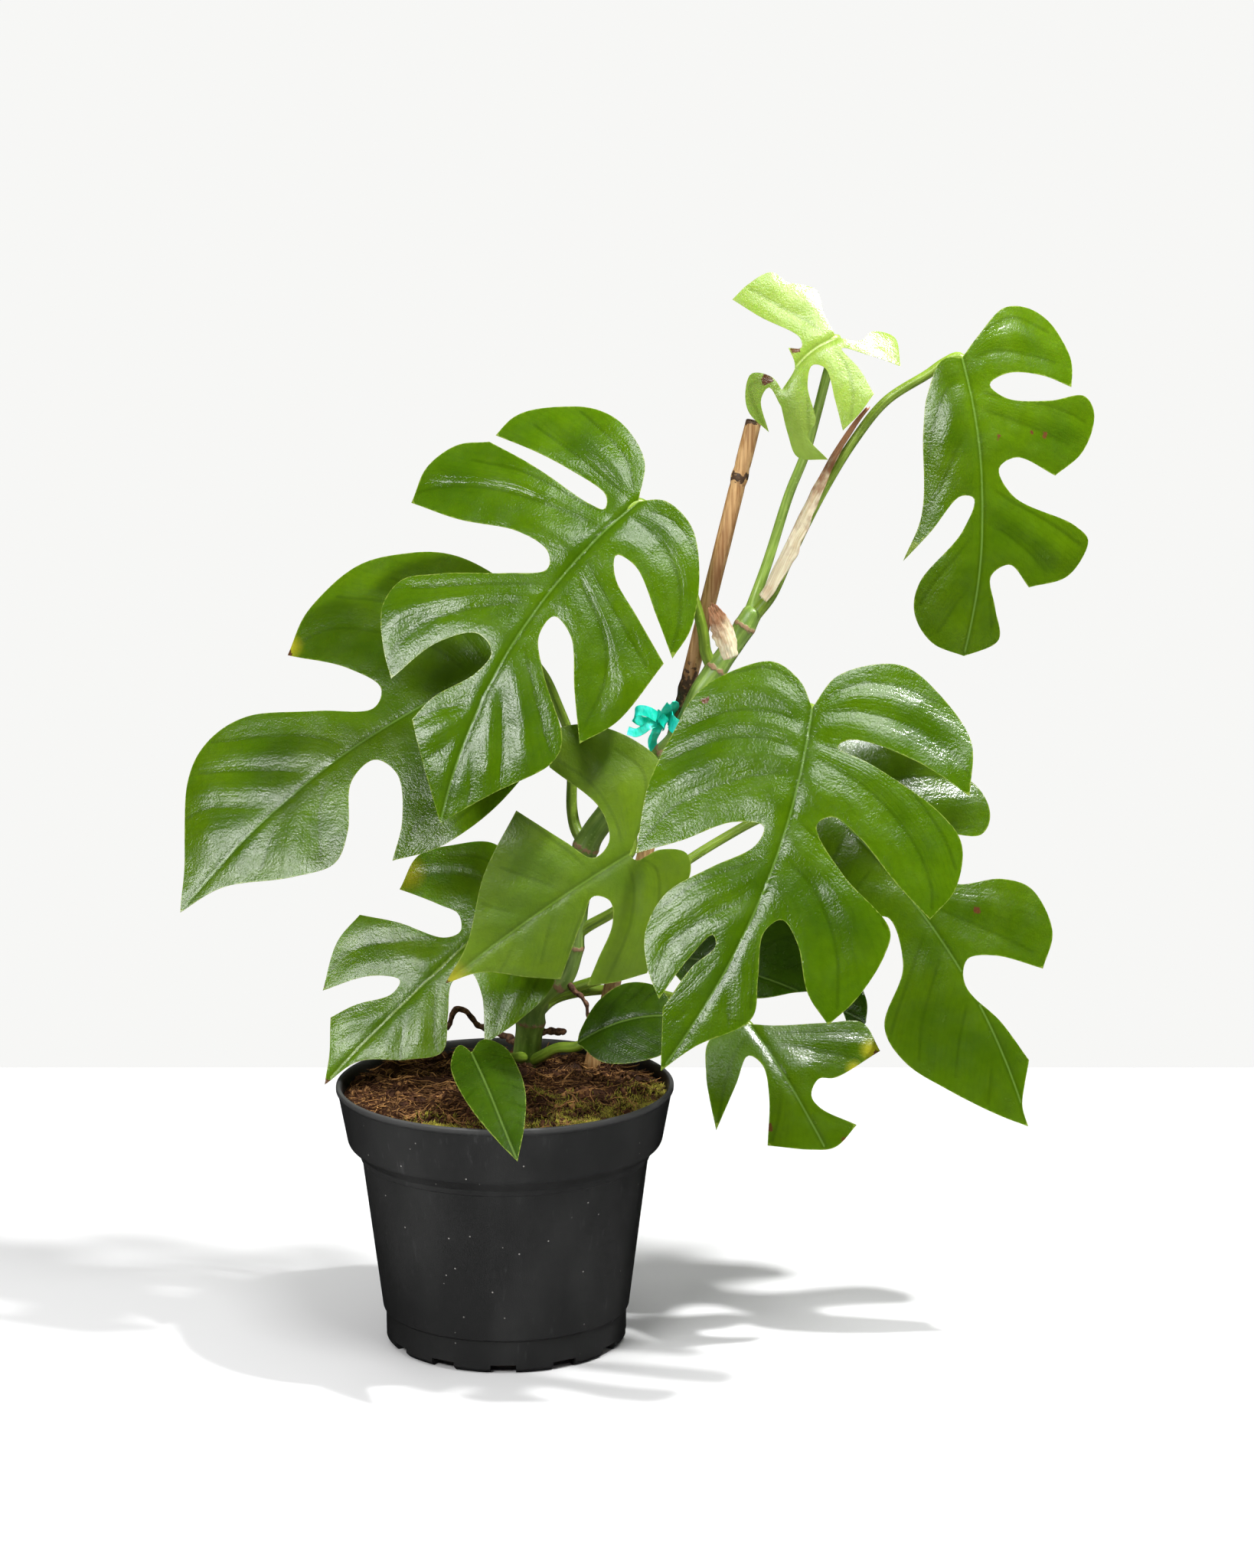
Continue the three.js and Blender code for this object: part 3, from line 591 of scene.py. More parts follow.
def pot_plastic() -> bpy.types.Material:
    """Matte charcoal moulded plastic with fine grain, rubbed smears, dust, pale specks and a painted
    highlight along the lip.

    Returns:
        The material.
    """
    s = Shader("charcoal_plastic", Specular_IOR_Level=0.42)
    smear = s.noise(34, 5, stretch=(1, 1, 0.45))
    colour = s.mix(s.span(smear, 0.35, 0.75), (0.020, 0.0202, 0.0200), (0.032, 0.0322, 0.0315))
    rubbed = s.span(s.noise(2.2, 6, stretch=(1, 1, 0.22)), 0.58, 0.72)
    scuff = s.times(rubbed, s.span(s.noise(28, 2), 0.5, 0.7))
    colour = s.mix(s.times(scuff, 0.35), colour, (0.08, 0.08, 0.08))
    dust = s.times(s.span(s.cells(6), 0.04, 0.075, 1, 0), s.span(s.noise(19, 2), 0.46, 0.54))
    colour = s.mix(s.times(dust, 0.75), colour, (0.42, 0.40, 0.37))
    # Painted highlight: the top few millimetres of the lip are lightened to stand for the light the rim
    # catches.
    lip = s.span(s.read("height"), POT_TOP - 3.4, POT_TOP - 0.6)
    colour = s.mix(s.times(lip, 0.5), colour, (0.100, 0.100, 0.098))
    grain = s.relief(s.noise(0.55, 3), 0.05)
    dents = s.relief(s.noise(15, 3, stretch=(1, 1, 0.6)), 0.25, grain)
    return s.finish(colour, s.span(smear, 0.3, 0.8, 0.44, 0.58), dents)


def coir(name: str, dark: Colour, light: Colour) -> bpy.types.Material:
    """Damp fibrous brown coir, each strand of its own shade.

    Args:
        name: the material's name.
        dark: the darkest brown.
        light: the lightest brown.

    Returns:
        The material.
    """
    s = Shader(name, Specular_IOR_Level=0.25)
    shade = s.plus(s.read("shade"), s.span(s.noise(3, 4), 0.3, 0.7, -0.2, 0.2))
    colour = s.mix(s.span(shade, 0, 1), dark, light)
    colour = s.mix(s.span(s.noise(13, 3), 0.4, 0.65, 0, 0.5), colour, tuple(0.4 * c for c in dark))
    return s.finish(colour, s.span(shade, 0, 1, 0.78, 0.92), s.relief(s.noise(0.6, 4), 0.3))


def moss() -> bpy.types.Material:
    """Short olive moss, from dark green to straw.

    Returns:
        The material.
    """
    s = Shader("moss", Specular_IOR_Level=0.2)
    colour = s.mix(s.read("shade"), (0.060, 0.062, 0.005), (0.34, 0.30, 0.035))
    colour = s.mix(s.span(s.noise(5, 3), 0.4, 0.7, 0, 0.6), colour, (0.09, 0.055, 0.02))
    return s.finish(colour, s.span(s.noise(2, 3), 0.3, 0.7, 0.75, 0.9))


def bamboo() -> bpy.types.Material:
    """Dry tan bamboo with long grain, dark speckled nodes and weathered stains.

    Returns:
        The material.
    """
    s = Shader("dry_bamboo", Coat_Weight=0.08, Coat_Roughness=0.35)
    grain = s.noise(1.1, 5, stretch=(1, 1, 0.035))
    colour = s.mix(s.span(grain, 0.3, 0.7), (0.36, 0.170, 0.050), (0.70, 0.44, 0.19))
    stain = s.span(s.noise(21, 4, stretch=(1, 1, 0.3)), 0.45, 0.7, 0, 0.65)
    colour = s.mix(stain, colour, (0.19, 0.075, 0.028))
    band = s.plus(s.read("scar"), s.span(s.noise(2.1, 5), 0.32, 0.68, -0.45, 0.45))
    speckle = s.mix(s.noise(1.1, 3), (0.018, 0.009, 0.006), (0.16, 0.085, 0.04))
    colour = s.mix(s.span(band, 0.42, 0.62), colour, speckle)
    bumps = s.relief(s.plus(grain, s.span(band, 0.3, 0.8)), 0.16)
    return s.finish(colour, s.span(grain, 0.3, 0.7, 0.42, 0.6), bumps)


def ribbon_plastic() -> bpy.types.Material:
    """Thin turquoise ribbon, slightly see-through, with fine creases.

    Returns:
        The material.
    """
    s = Shader("turquoise_ribbon", Subsurface_Weight=0.25, Subsurface_Scale=2 * MM)
    colour = s.mix(s.span(s.noise(4, 3), 0.3, 0.7), (0.0, 0.80, 0.58), (0.05, 0.92, 0.76))
    creases = s.relief(s.noise(1.4, 4, stretch=(1, 1, 0.5)), 0.3)
    return s.finish(colour, s.span(s.noise(3, 2), 0.3, 0.7, 0.28, 0.45), creases)


def papery_sheath() -> bpy.types.Material:
    """Dried papery leaf sheath: cream, with long brown fibres and a scorched end.

    Returns:
        The material.
    """
    s = Shader("papery_sheath", Subsurface_Weight=0.15, Subsurface_Scale=1.5 * MM)
    fibres = s.fibres(0.05, 22.0)
    colour = s.mix(s.span(fibres, 0.3, 0.7), (0.56, 0.46, 0.27), (0.80, 0.74, 0.54))
    colour = s.mix(s.span(s.noise(9, 4), 0.5, 0.75, 0, 0.6), colour, (0.42, 0.24, 0.11))
    scorch = s.span(s.plus(s.read("scar"), s.noise(4, 3)), 0.6, 1.2)
    colour = s.mix(scorch, colour, (0.26, 0.12, 0.05))
    return s.finish(colour, s.span(fibres, 0.3, 0.7, 0.6, 0.75), s.relief(fibres, 0.35))


def root_bark() -> bpy.types.Material:
    """Dry dark brown root skin with pale scaly flecks.

    Returns:
        The material.
    """
    s = Shader("root_bark", Specular_IOR_Level=0.3)
    colour = s.mix(s.span(s.noise(1.8, 5), 0.3, 0.7), (0.045, 0.018, 0.012), (0.24, 0.12, 0.07))
    return s.finish(colour, s.span(s.noise(1.2, 3), 0.3, 0.7, 0.65, 0.85), s.relief(s.noise(0.9, 4), 0.4))


# ---- Pot ----


@dataclass
class NurseryPot:
    """A moulded nursery pot: rim band, shoulder, tapered wall, foot band and drain notches."""

    height: float = POT_TOP
    rim: float = 76.0
    band: float = 71.0
    band_height: float = 26.0
    shoulder_step: float = 5.5
    shoulder_height: float = 5.0
    foot: float = 54.5
    foot_height: float = 15.0
    foot_step: float = 1.3
    wall: float = 1.8
    floor: float = 2.4
    notches: int = 12
    notch_size: Point = (12.0, 11.5, 8.0)
    sides: int = 168

    def outer(self) -> list[Plan]:
        """Gives the outside from the middle of the base up to the lip, with its moulded lines.

        Returns:
            Points of radius and height.
        """
        under = self.height - self.band_height
        shoulder = self.band - self.shoulder_step
        return [
            (0, 0.6),
            (self.foot - 12, 0.6),
            (self.foot - 11, 0),
            (self.foot - 2, 0),
            (self.foot, 2),
            (self.foot, self.foot_height),
            (self.foot + self.foot_step, self.foot_height + 0.7),
            (shoulder - 0.9, under - self.shoulder_height - 2.6),
            (shoulder - 0.2, under - self.shoulder_height - 2.4),
            (shoulder - 0.1, under - self.shoulder_height),
            (self.band - 0.6, under - 0.4),
            (self.band, under + 0.8),
            (self.rim - 0.9, self.height - 3.2),
            (self.rim, self.height - 2.4),
            (self.rim, self.height - 0.5),
        ]

    def inner(self) -> list[Plan]:
        """Gives the inside from the lip down to the middle of the floor.

        Returns:
            Points of radius and height.
        """
        under = self.height - self.band_height
        return [
            (self.rim - 0.5, self.height),
            (self.rim - self.wall, self.height),
            (self.rim - self.wall - 0.6, self.height - 1.5),
            (self.band - self.wall, under),
            (self.band - self.shoulder_step - self.wall, under - self.shoulder_height),
            (self.foot - self.wall, self.foot_height),
            (self.foot - self.wall, self.floor),
            (0, self.floor),
        ]

    def cutters(self) -> bpy.types.Object:
        """Makes the blocks that the drain notches are cut with.

        Returns:
            One object that holds all the blocks.
        """
        deep, wide, tall = (size / 2 for size in self.notch_size)
        corners = [(x, y, z) for x in (-deep, deep) for y in (-wide, wide) for z in (-tall, tall)]
        sides = [(0, 1, 3, 2), (4, 6, 7, 5), (0, 4, 5, 1), (2, 3, 7, 6), (0, 2, 6, 4), (1, 5, 7, 3)]
        points = []
        for notch in range(self.notches):
            turn = 2 * math.pi * notch / self.notches
            ahead, beside = math.cos(turn), math.sin(turn)
            for x, y, z in corners:
                x += self.foot
                points.append((x * ahead - y * beside, x * beside + y * ahead, z))
        return make_piece("notch_cutters", np.array(points), repeated(sides, len(corners), self.notches))

    def build(self) -> None:
        """Builds the pot, cuts its notches and dresses it."""
        profile = rounded([*self.outer(), *self.inner()], 0.5, 3)
        points, faces = turned(profile, self.sides)
        body = make_piece("pot_body", points, faces)
        cutters = self.cutters()
        cut = body.modifiers.new("notches", "BOOLEAN")
        cut.operation, cut.solver, cut.object = "DIFFERENCE", "EXACT", cutters
        shaped = bpy.data.meshes.new_from_object(body.evaluated_get(bpy.context.evaluated_depsgraph_get()))
        for spare in (body, cutters):
            bpy.data.objects.remove(spare, do_unlink=True)
        shaped.polygons.foreach_set("use_smooth", [True] * len(shaped.polygons))
        shaped.set_sharp_from_angle(angle=math.radians(32))
        pot = bpy.data.objects.new("pot", shaped)
        bpy.context.scene.collection.objects.link(pot)
        mark(pot, "height", [vertex.co.z / MM for vertex in shaped.vertices])
        install(pot, pot_plastic(), "nursery_pot", "nursery_pot")


# ---- Growing medium ----


@dataclass
class GrowingMedium:
    """Damp coir: a rough mound with loose strands, crumbs and patches of moss."""

    edge: float = 73.2
    mound: float = 3.5
    strands: int = 4200
    crumbs: int = 1500
    tufts: int = 8500
    seed: int = 11
    moss_patches: tuple = (
        (-30, -60, 15), (6, -66, 18), (40, -52, 20), (62, -24, 15), (66, 4, 10), (22, -20, 9),
    )
    chance: np.random.Generator = field(init=False)

    def __post_init__(self) -> None:
        """Seeds the loose pieces."""
        self.chance = np.random.default_rng(self.seed)

    def level(self, x: float, y: float) -> float:
        """Gives the height of the surface at a place.

        Args:
            x: the place's x.
            y: the place's y.

        Returns:
            The height in millimetres.
        """
        share = min(1.0, math.hypot(x, y) / self.edge)
        place = Vector((x, y, 0))
        lumps = 5.0 * noise.noise(place / 15) + 4.2 * noise.noise(place / 7) + 2.0 * noise.noise(place / 3)
        return SOIL_LEVEL + self.mound * (1 - share * share) + lumps * min(1.0, 6 * (1.05 - share))

    def levels(self, spots: np.ndarray) -> np.ndarray:
        """Gives the heights of the surface at rows of x and y."""
        return np.array([self.level(x, y) for x, y in spots])

    def scatter(self, count: int, reach: float) -> np.ndarray:
        """Picks places evenly over the surface.

        Args:
            count: how many places to pick.
            reach: how far from the middle they may lie.

        Returns:
            Rows of x and y.
        """
        radius = reach * np.sqrt(self.chance.random(count))
        turn = self.chance.random(count) * 2 * math.pi
        return np.stack([radius * np.cos(turn), radius * np.sin(turn)], axis=1)

    def build_mound(self, finish: bpy.types.Material) -> None:
        """Builds the body of the medium, rough on top.

        Args:
            finish: the material.
        """
        top = [(self.edge * share, SOIL_LEVEL) for share in np.linspace(1, 0, 62)[:-1]]
        profile = [(0, 2.9), (52, 2.9), (52.4, 15), (63, 88), (68.6, 93.4), *top, (0, SOIL_LEVEL)]
        points, faces = turned(profile, 180)
        above = points[:, 2] > SOIL_LEVEL - 0.5
        points[above, 2] = self.levels(points[above, :2])
        piece = make_piece("coir_mound", points, faces)
        mark(piece, "shade", 0.16 + 0.10 * ripple(points, 5.0))
        install(piece, finish, "growing_medium", "growing_medium")

    def build_strands(self, finish: bpy.types.Material) -> None:
        """Lays the loose coir strands over the mound.

        Args:
            finish: the material.
        """
        knots, sides = 6, 3
        count = self.strands
        spots = self.scatter(count, self.edge - 3)
        turn = self.chance.random(count) * 2 * math.pi
        length = 4.5 + 15 * self.chance.random(count) ** 2
        bend = self.chance.normal(0, 0.055, count)
        lift = 0.2 + 2.0 * self.chance.random(count) ** 3
        tilt = self.chance.normal(0, 0.16, count)
        thick = 0.15 + 0.34 * self.chance.random(count) ** 2.5
        ahead = np.stack([np.cos(turn), np.sin(turn)], axis=1)
        beside = np.stack([-np.sin(turn), np.cos(turn)], axis=1)
        share = np.linspace(-0.5, 0.5, knots)
        reach = share[None, :] * length[:, None]
        sideways = (bend[:, None] * reach**2)[..., None]
        flat = spots[:, None] + ahead[:, None] * reach[..., None] + beside[:, None] * sideways
        radius = np.linalg.norm(flat, axis=2)
        flat *= np.minimum(1, (self.edge - 1.2) / np.maximum(radius, 1e-6))[..., None]
        height = self.levels(flat.reshape(-1, 2)).reshape(count, knots)
        height = 0.45 * height + 0.55 * height.mean(axis=1, keepdims=True)
        height = height + lift[:, None] + tilt[:, None] * reach
        taper = thick[:, None] * (1 - 1.5 * share[None, :] ** 2)
        rings = []
        for side in range(sides):
            angle = 2 * math.pi * side / sides
            out = beside[:, None] * (math.cos(angle) * taper)[..., None]
            up = (height + math.sin(angle) * taper)[..., None]
            rings.append(np.concatenate([flat + out, up], axis=2))
        points = np.stack(rings, axis=2).reshape(-1, 3)
        ends = [(2, 1, 0), tuple((knots - 1) * sides + i for i in range(sides))]
        faces = repeated(ring_faces(knots, sides) + ends, knots * sides, count)
        piece = make_piece("coir_strands", points, faces)
        mark(piece, "shade", np.repeat(self.chance.random(count) ** 2.2, knots * sides))
        install(piece, finish, "growing_medium")

    def build_crumbs(self, finish: bpy.types.Material) -> None:
        """Scatters crumbs of peat and bark.

        Args:
            finish: the material.
        """
        golden = (1 + 5**0.5) / 2
        ball = unit(np.array([(a, b * golden, 0) for a in (-1, 1) for b in (-1, 1)]))
        ball = np.vstack([ball, ball[:, [2, 0, 1]], ball[:, [1, 2, 0]]])
        spots = self.scatter(self.crumbs, self.edge - 2)
        size = 0.4 + 1.5 * self.chance.random(self.crumbs) ** 3
        lumps = 1 + self.chance.normal(0, 0.2, (self.crumbs, len(ball), 1))
        squash = 0.5 + 0.9 * self.chance.random((self.crumbs, 1, 3))
        points = ball[None] * lumps * squash * size[:, None, None]
        points[..., :2] += spots[:, None]
        points[..., 2] += (self.levels(spots) + 0.35 * size)[:, None]
        faces = repeated(hull_faces(ball), len(ball), self.crumbs)
        piece = make_piece("coir_crumbs", points.reshape(-1, 3), faces)
        mark(piece, "shade", np.repeat(0.55 * self.chance.random(self.crumbs) ** 1.5, len(ball)))
        install(piece, finish, "growing_medium")

    def build_moss(self, finish: bpy.types.Material) -> None:
        """Grows short moss in patches, one spike at a time.

        Args:
            finish: the material.
        """
        share = np.array([size**2 for _, _, size in self.moss_patches], float)
        picks = self.chance.choice(len(self.moss_patches), self.tufts, p=share / share.sum())
        centres = np.array([patch[:2] for patch in self.moss_patches])[picks]
        spread = np.array([patch[2] for patch in self.moss_patches])[picks] * 0.5
        spots = centres + self.chance.normal(0, 1, (self.tufts, 2)) * spread[:, None]
        radius = np.linalg.norm(spots, axis=1)
        spots *= np.minimum(1, (self.edge - 2) / radius)[:, None]
        foot = np.concatenate([spots, self.levels(spots)[:, None] + 0.4], axis=1)
        lean = self.chance.normal(0, 0.75, (self.tufts, 3))
        lean[:, 2] = 1
        tip = foot + unit(lean) * (1.4 + 2.2 * self.chance.random(self.tufts))[:, None]
        turn = self.chance.random(self.tufts) * 2 * math.pi
        width = 0.3 + 0.3 * self.chance.random(self.tufts)
        corners = []
        for side in range(3):
            angle = turn + 2 * math.pi * side / 3
            ring = np.stack([np.cos(angle) * width, np.sin(angle) * width, np.zeros(self.tufts)], axis=1)
            corners.append(foot + ring)
        points = np.stack([*corners, tip], axis=1).reshape(-1, 3)
        spike = [(0, 1, 3), (1, 2, 3), (2, 0, 3), (2, 1, 0)]
        faces = repeated(spike, 4, self.tufts)
        piece = make_piece("moss_tufts", points, faces)
        shade = np.repeat(0.15 + 0.6 * self.chance.random(self.tufts), 4)
        shade[3::4] += 0.25
        mark(piece, "shade", shade)
        install(piece, finish, "growing_medium")

    def build(self) -> None:
        """Builds the mound and everything loose on it."""
        dark = coir("coir_body", (0.036, 0.012, 0.003), (0.13, 0.046, 0.013))
        loose = coir("coir_loose", (0.052, 0.017, 0.005), (0.50, 0.255, 0.085))
        self.build_mound(dark)
        self.build_strands(loose)
        self.build_crumbs(loose)
        self.build_moss(moss())


def hull_faces(ball: np.ndarray) -> list:
    """Gives the outward triangles of the convex hull of a few points round the origin.

    Args:
        ball: the points, which all lie on the hull.

    Returns:
        The hull's triangles, as point numbers.
    """
    faces = []
    for i in range(len(ball)):
        for j in range(len(ball)):
            for k in range(j + 1, len(ball)):
                if i >= j:
                    continue
                normal = np.cross(ball[j] - ball[i], ball[k] - ball[i])
                heights = (ball - ball[i]) @ normal
                if np.all(heights < 1e-6):
                    faces.append((i, j, k))
                elif np.all(heights > -1e-6):
                    faces.append((i, k, j))
    return faces


# ---- Cane, stem and tie ----


@dataclass
class BambooCane:
    """A leaning bamboo cane with swollen, speckled nodes and a hollow sawn top."""

    foot: Point = (38, 36, 0)
    lean: Point = (73, -6, 301)
    top: float = 301.0
    depth: float = 88.0
    radius: float = 3.8
    thinning: float = 0.07
    nodes: tuple = (-12, 84, 180, 276)
    long_stain: float = 180
    pith: float = 1.5
    pith_depth: float = 7.0

    def at(self, height: float) -> np.ndarray:
        """Gives the cane's axis at a height above the growing medium."""
        direction = np.array(self.lean, float)
        return grown([self.foot])[0] + direction * height / direction[2]

    def build(self) -> None:
        """Builds and dresses the cane."""
        start, end = self.at(-self.depth), self.at(self.top)
        length = float(np.linalg.norm(end - start))
        marks = np.arange(0, length, 1.2)
        places = marks / length * (self.top + self.depth) - self.depth
        near = np.abs(places[:, None] - np.array(self.nodes)[None]).min(axis=1)
        swell = 0.11 * hump(near, 2.2) - 0.05 * hump(near - 4, 1)
        radii = self.radius * (1 - self.thinning * marks / length + swell)
        lip, pith, bottom = radii[-1], self.pith, length - self.pith_depth
        rim = [(lip, length - 0.4), (lip - 0.3, length)]
        hollow = [(pith, length), (pith - 0.2, length - 0.8), (pith - 0.3, bottom), (0, bottom)]
        points, faces = turned([(0, 0), *zip(radii, marks), *rim, *hollow], 28)
        points[:, :2] *= 1 + 0.035 * ripple(points * (1, 1, 0.12), 2.4)[:, None]
        up = unit(end - start)
        side = unit(np.cross(up, (0, 1, 0)))
        points = start + points @ np.stack([side, np.cross(up, side), up])
        cane = make_piece("cane", points, faces, 50)
        heights = (points[:, 2] - SOIL_LEVEL)[:, None]
        gaps = np.abs(heights - np.array(self.nodes)[None]).min(axis=1)
        sawn = hump(points[:, 2] - end[2], 1.4)
        wide = np.where(np.abs(heights[:, 0] - self.long_stain) < 20, 9.0, 2.4)
        mark(cane, "scar", np.clip(hump(gaps, wide) * 0.9 + sawn, 0, 1))
        install(cane, bamboo(), "cane", "bamboo_cane")


@dataclass
class MainStem:
    """The climbing stem, with a ringed node where each leaf stalk leaves it."""

    path: tuple = (
        (9, 36, -14), (9, 36, 4), (10, 33, 18), (13, 30, 35), (19, 29, 43), (26, 28, 50), (32, 28, 82),
        (36, 28, 107), (47, 26, 125), (59, 24, 139), (72, 22, 152), (81, 21, 165), (88, 22, 181),
        (96, 25, 192), (105, 27, 205), (112, 29, 217),
    )
    base: float = 7.0
    tip: float = 4.8
    nodes: tuple = (7, 26, 46, 62, 108, 130, 152, 190, 209)
    sides: int = 28

    def build(self, finish: bpy.types.Material) -> None:
        """Builds and dresses the stem.

        Args:
            finish: the material.
        """
        path = smooth_path(grown(list(self.path)), 0.9)
        share = np.linspace(0, 1, len(path))
        height = path[:, 2] - SOIL_LEVEL
        gaps = height[:, None] - np.array(self.nodes)[None]
        swell, ring = hump(gaps, 3.2).sum(axis=1), hump(gaps, 0.8).sum(axis=1)
        radii = (self.base + (self.tip - self.base) * share) * (0.93 + 0.09 * swell + 0.04 * ring)
        radii[-3:] *= (0.95, 0.85, 0.6)
        turns = np.linspace(0, 2 * math.pi, self.sides, endpoint=False)
        lobes = np.stack([np.cos(turns) * 2, np.sin(turns) * 2], axis=1)
        bumps = [[noise.noise(Vector((x, y, h / 9))) for x, y in lobes] for h in height]
        shape = 1 + 0.05 * np.array(bumps)
        points, faces, along, around = sweep(path, radii, self.sides, shape)
        stem = make_piece("stem", points, faces)
        mark(stem, "along", along)
        mark(stem, "around", around)
        scar = hump(gaps, 1.3).sum(axis=1) * 0.85 + hump(height, 6) * 0.5
        mark(stem, "scar", np.repeat(np.clip(scar, 0, 1), self.sides))
        install(stem, finish, "stem", "main_stem")


@dataclass
class TieRibbon:
    """A plastic ribbon tied round the cane and the stem, with a crumpled bow and two tails."""

    cane: BambooCane
    stem: MainStem
    height: float = 166.0
    width: float = 5.0
    thickness: float = 0.35
    stem_reach: float = 6.6
    cane_reach: float = 4.5
    tails: tuple = (
        (((0, 0, 0), (-5, -2, 4), (-10, -2, 5), (-12, 0, 2), (-8, 2, -1), (-2, 1, -1)), 4.8, (0.2, 0.4, 1)),
        (((0, 0, 0), (2, -3, 5), (4, -4, 8), (6, -2, 7), (4, 0, 3), (1, 1, 0)), 4.6, (1, 0.3, 0.3)),
        (((0, 0, 0), (-2, -2, -4), (-4, -2, -9), (-3, -1, -14)), 4.4, (1, 0.5, 0)),
        (((0, 0, 0), (-6, -3, -2), (-11, -3, -5), (-15, -3, -4)), 4.0, (0, 0.6, 1)),
        (((-2, 1, 3), (0, -3, 2), (2, -3, -1), (1, 1, -3)), 4.2, (0.4, 0.1, 1)),
    )

    def strip(self, path: np.ndarray, across: np.ndarray, width: float, closed: bool = False) -> tuple:
        """Lays a flat ribbon along a path.

        Args:
            path: the ribbon's middle line.
            across: the rough direction of its width at each point.
            width: its width.
            closed: whether it joins up with its own start.

        Returns:
            The points and faces of a closed body.
        """
        ahead = np.roll(path, -1, 0) - np.roll(path, 1, 0) if closed else np.gradient(path, axis=0)
        ahead = unit(ahead)
        across = unit(across - ahead * (across * ahead).sum(axis=1, keepdims=True))
        through = np.cross(ahead, across) * self.thickness / 2
        columns = 5
        rows = []
        for share in np.linspace(-0.5, 0.5, columns):
            crease = ripple(path + across * share * width, 2.0)[:, None] * 0.35
            rows.append(path + across * share * width + unit(through) * crease)
        front = [row + through for row in rows]
        back = [row - through for row in rows[::-1]]
        rings = np.stack(front + back, axis=1)
        count, sides = len(path), 2 * columns
        faces = [(a, d, c, b) for a, b, c, d in ring_faces(count, sides, closed)]
        if not closed:
            faces.append(tuple(range(sides)))
            faces.append(tuple((count - 1) * sides + i for i in range(sides))[::-1])
        return rings.reshape(-1, 3), faces

    def band(self, centre: np.ndarray, shift: float) -> tuple:
        """Winds one turn of ribbon round the cane and the stem.

        Args:
            centre: the cane's middle at the tie.
            shift: how far above it the band lies.

        Returns:
            The band's points and faces.
        """
        up = unit(np.array(self.cane.lean, float))
        stem = smooth_path(grown(list(self.stem.path)), 1.0)
        offset = stem[np.linalg.norm(stem - centre, axis=1).argmin()] - centre
        offset -= up * offset.dot(up)
        apart = float(np.linalg.norm(offset))
        x, y = offset / apart, np.cross(up, offset / apart)
        outline = []
        for turn in np.linspace(-0.5, 0.5, 18) * math.pi:
            outline.append((apart + self.stem_reach * math.cos(turn), self.stem_reach * math.sin(turn)))
        for turn in np.linspace(0.5, 1.5, 14) * math.pi:
            outline.append((self.cane_reach * math.cos(turn), self.cane_reach * math.sin(turn)))
        loop = smooth_path([*outline, outline[0]], 1.0)[:-1]
        path = centre + up * shift + loop[:, :1] * x + loop[:, 1:] * y
        path += np.outer(ripple(path, 5.0), up) * 0.5
        return self.strip(path, np.tile(up, (len(path), 1)), self.width, closed=True)

    def build(self) -> None:
        """Builds the bands, the knot, two loops and two tails as one piece."""
        centre = self.cane.at(self.height)
        knot = centre + (-self.cane.radius - 4.2, -self.cane.radius, 0)
        parts = [self.band(centre, -0.8), self.band(centre, 1.1)]
        for points, width, across in self.tails:
            path = smooth_path([knot + point for point in points], 0.8)
            parts.append(self.strip(path, np.tile(across, (len(path), 1)).astype(float), width))
        start, faces = 0, []
        for points, pattern in parts:
            faces += [tuple(i + start for i in face) for face in pattern]
            start += len(points)
        tie = make_piece("tie", np.vstack([points for points, _ in parts]), faces, 60)
        install(tie, ribbon_plastic(), "tie", "tie_ribbon")


# ---- Leaves ----


class Spot(Enum):
    """What a blemish does to a leaf."""

    YELLOW = "yellow"
    SCORCH = "brown"


class Skin(Enum):
    """The finishes that the leaves come in."""

    GLOSSY = LeafFinish(
        "glossy", (0.037, 0.088, 0.0012), (0.064, 0.134, 0.0013), (0.11, 0.20, 0.03), 0.165, 1.0
    )
    SATIN = LeafFinish(
        "satin", (0.042, 0.094, 0.0012), (0.070, 0.138, 0.0013), (0.11, 0.20, 0.03), 0.205, 0.9
    )
    # A darker copy of the leaf skin: painted shade for the leaves that lie in the shadow of the canopy.
    PAINTED_SHADE = LeafFinish(
        "deep", (0.018, 0.046, 0.0012), (0.036, 0.080, 0.0016), (0.10, 0.17, 0.03), 0.24, 0.8
    )
    SOFT = LeafFinish(
        "soft", (0.070, 0.136, 0.0025), (0.112, 0.192, 0.0040), (0.12, 0.21, 0.02), 0.36, 0.7
    )
    FRESH = LeafFinish(
        "fresh", (0.066, 0.146, 0.0020), (0.120, 0.220, 0.0040), (0.22, 0.33, 0.05), 0.22, 0.6, 0.2
    )
    LIME = LeafFinish(
        "lime", (0.170, 0.275, 0.0200), (0.245, 0.345, 0.0550), (0.34, 0.44, 0.12), 0.24, 0.6, 0.3
    )


YOUNG_SKINS = (Skin.FRESH, Skin.LIME)


@dataclass(frozen=True)
class Blemish:
    """A spot of yellow or scorch on a leaf, by its place along and across it."""

    along: float
    across: float
    size: float
    kind: Spot


@dataclass(frozen=True)
class LeafPlan:
    """One leaf: where it hangs, how it curves, its outline, its side veins and its stalk.

    The outline is a list of stretches that meet at corners. Outline, veins and blemishes are given along
    the leaf from its base and across it, where across is positive on the right of the way from base to point.
    """

    name: str
    base: Point
    point: Point
    face: Point
    arch: float
    sway: float
    drop: Plan
    outline: list
    stalk: list
    right: list = field(default_factory=list)
    left: list = field(default_factory=list)
    skin: Skin = Skin.SATIN
    slot: str = "leaf"
    quilt: float = 1.0
    wave: float = 0.9
    blemishes: tuple = ()


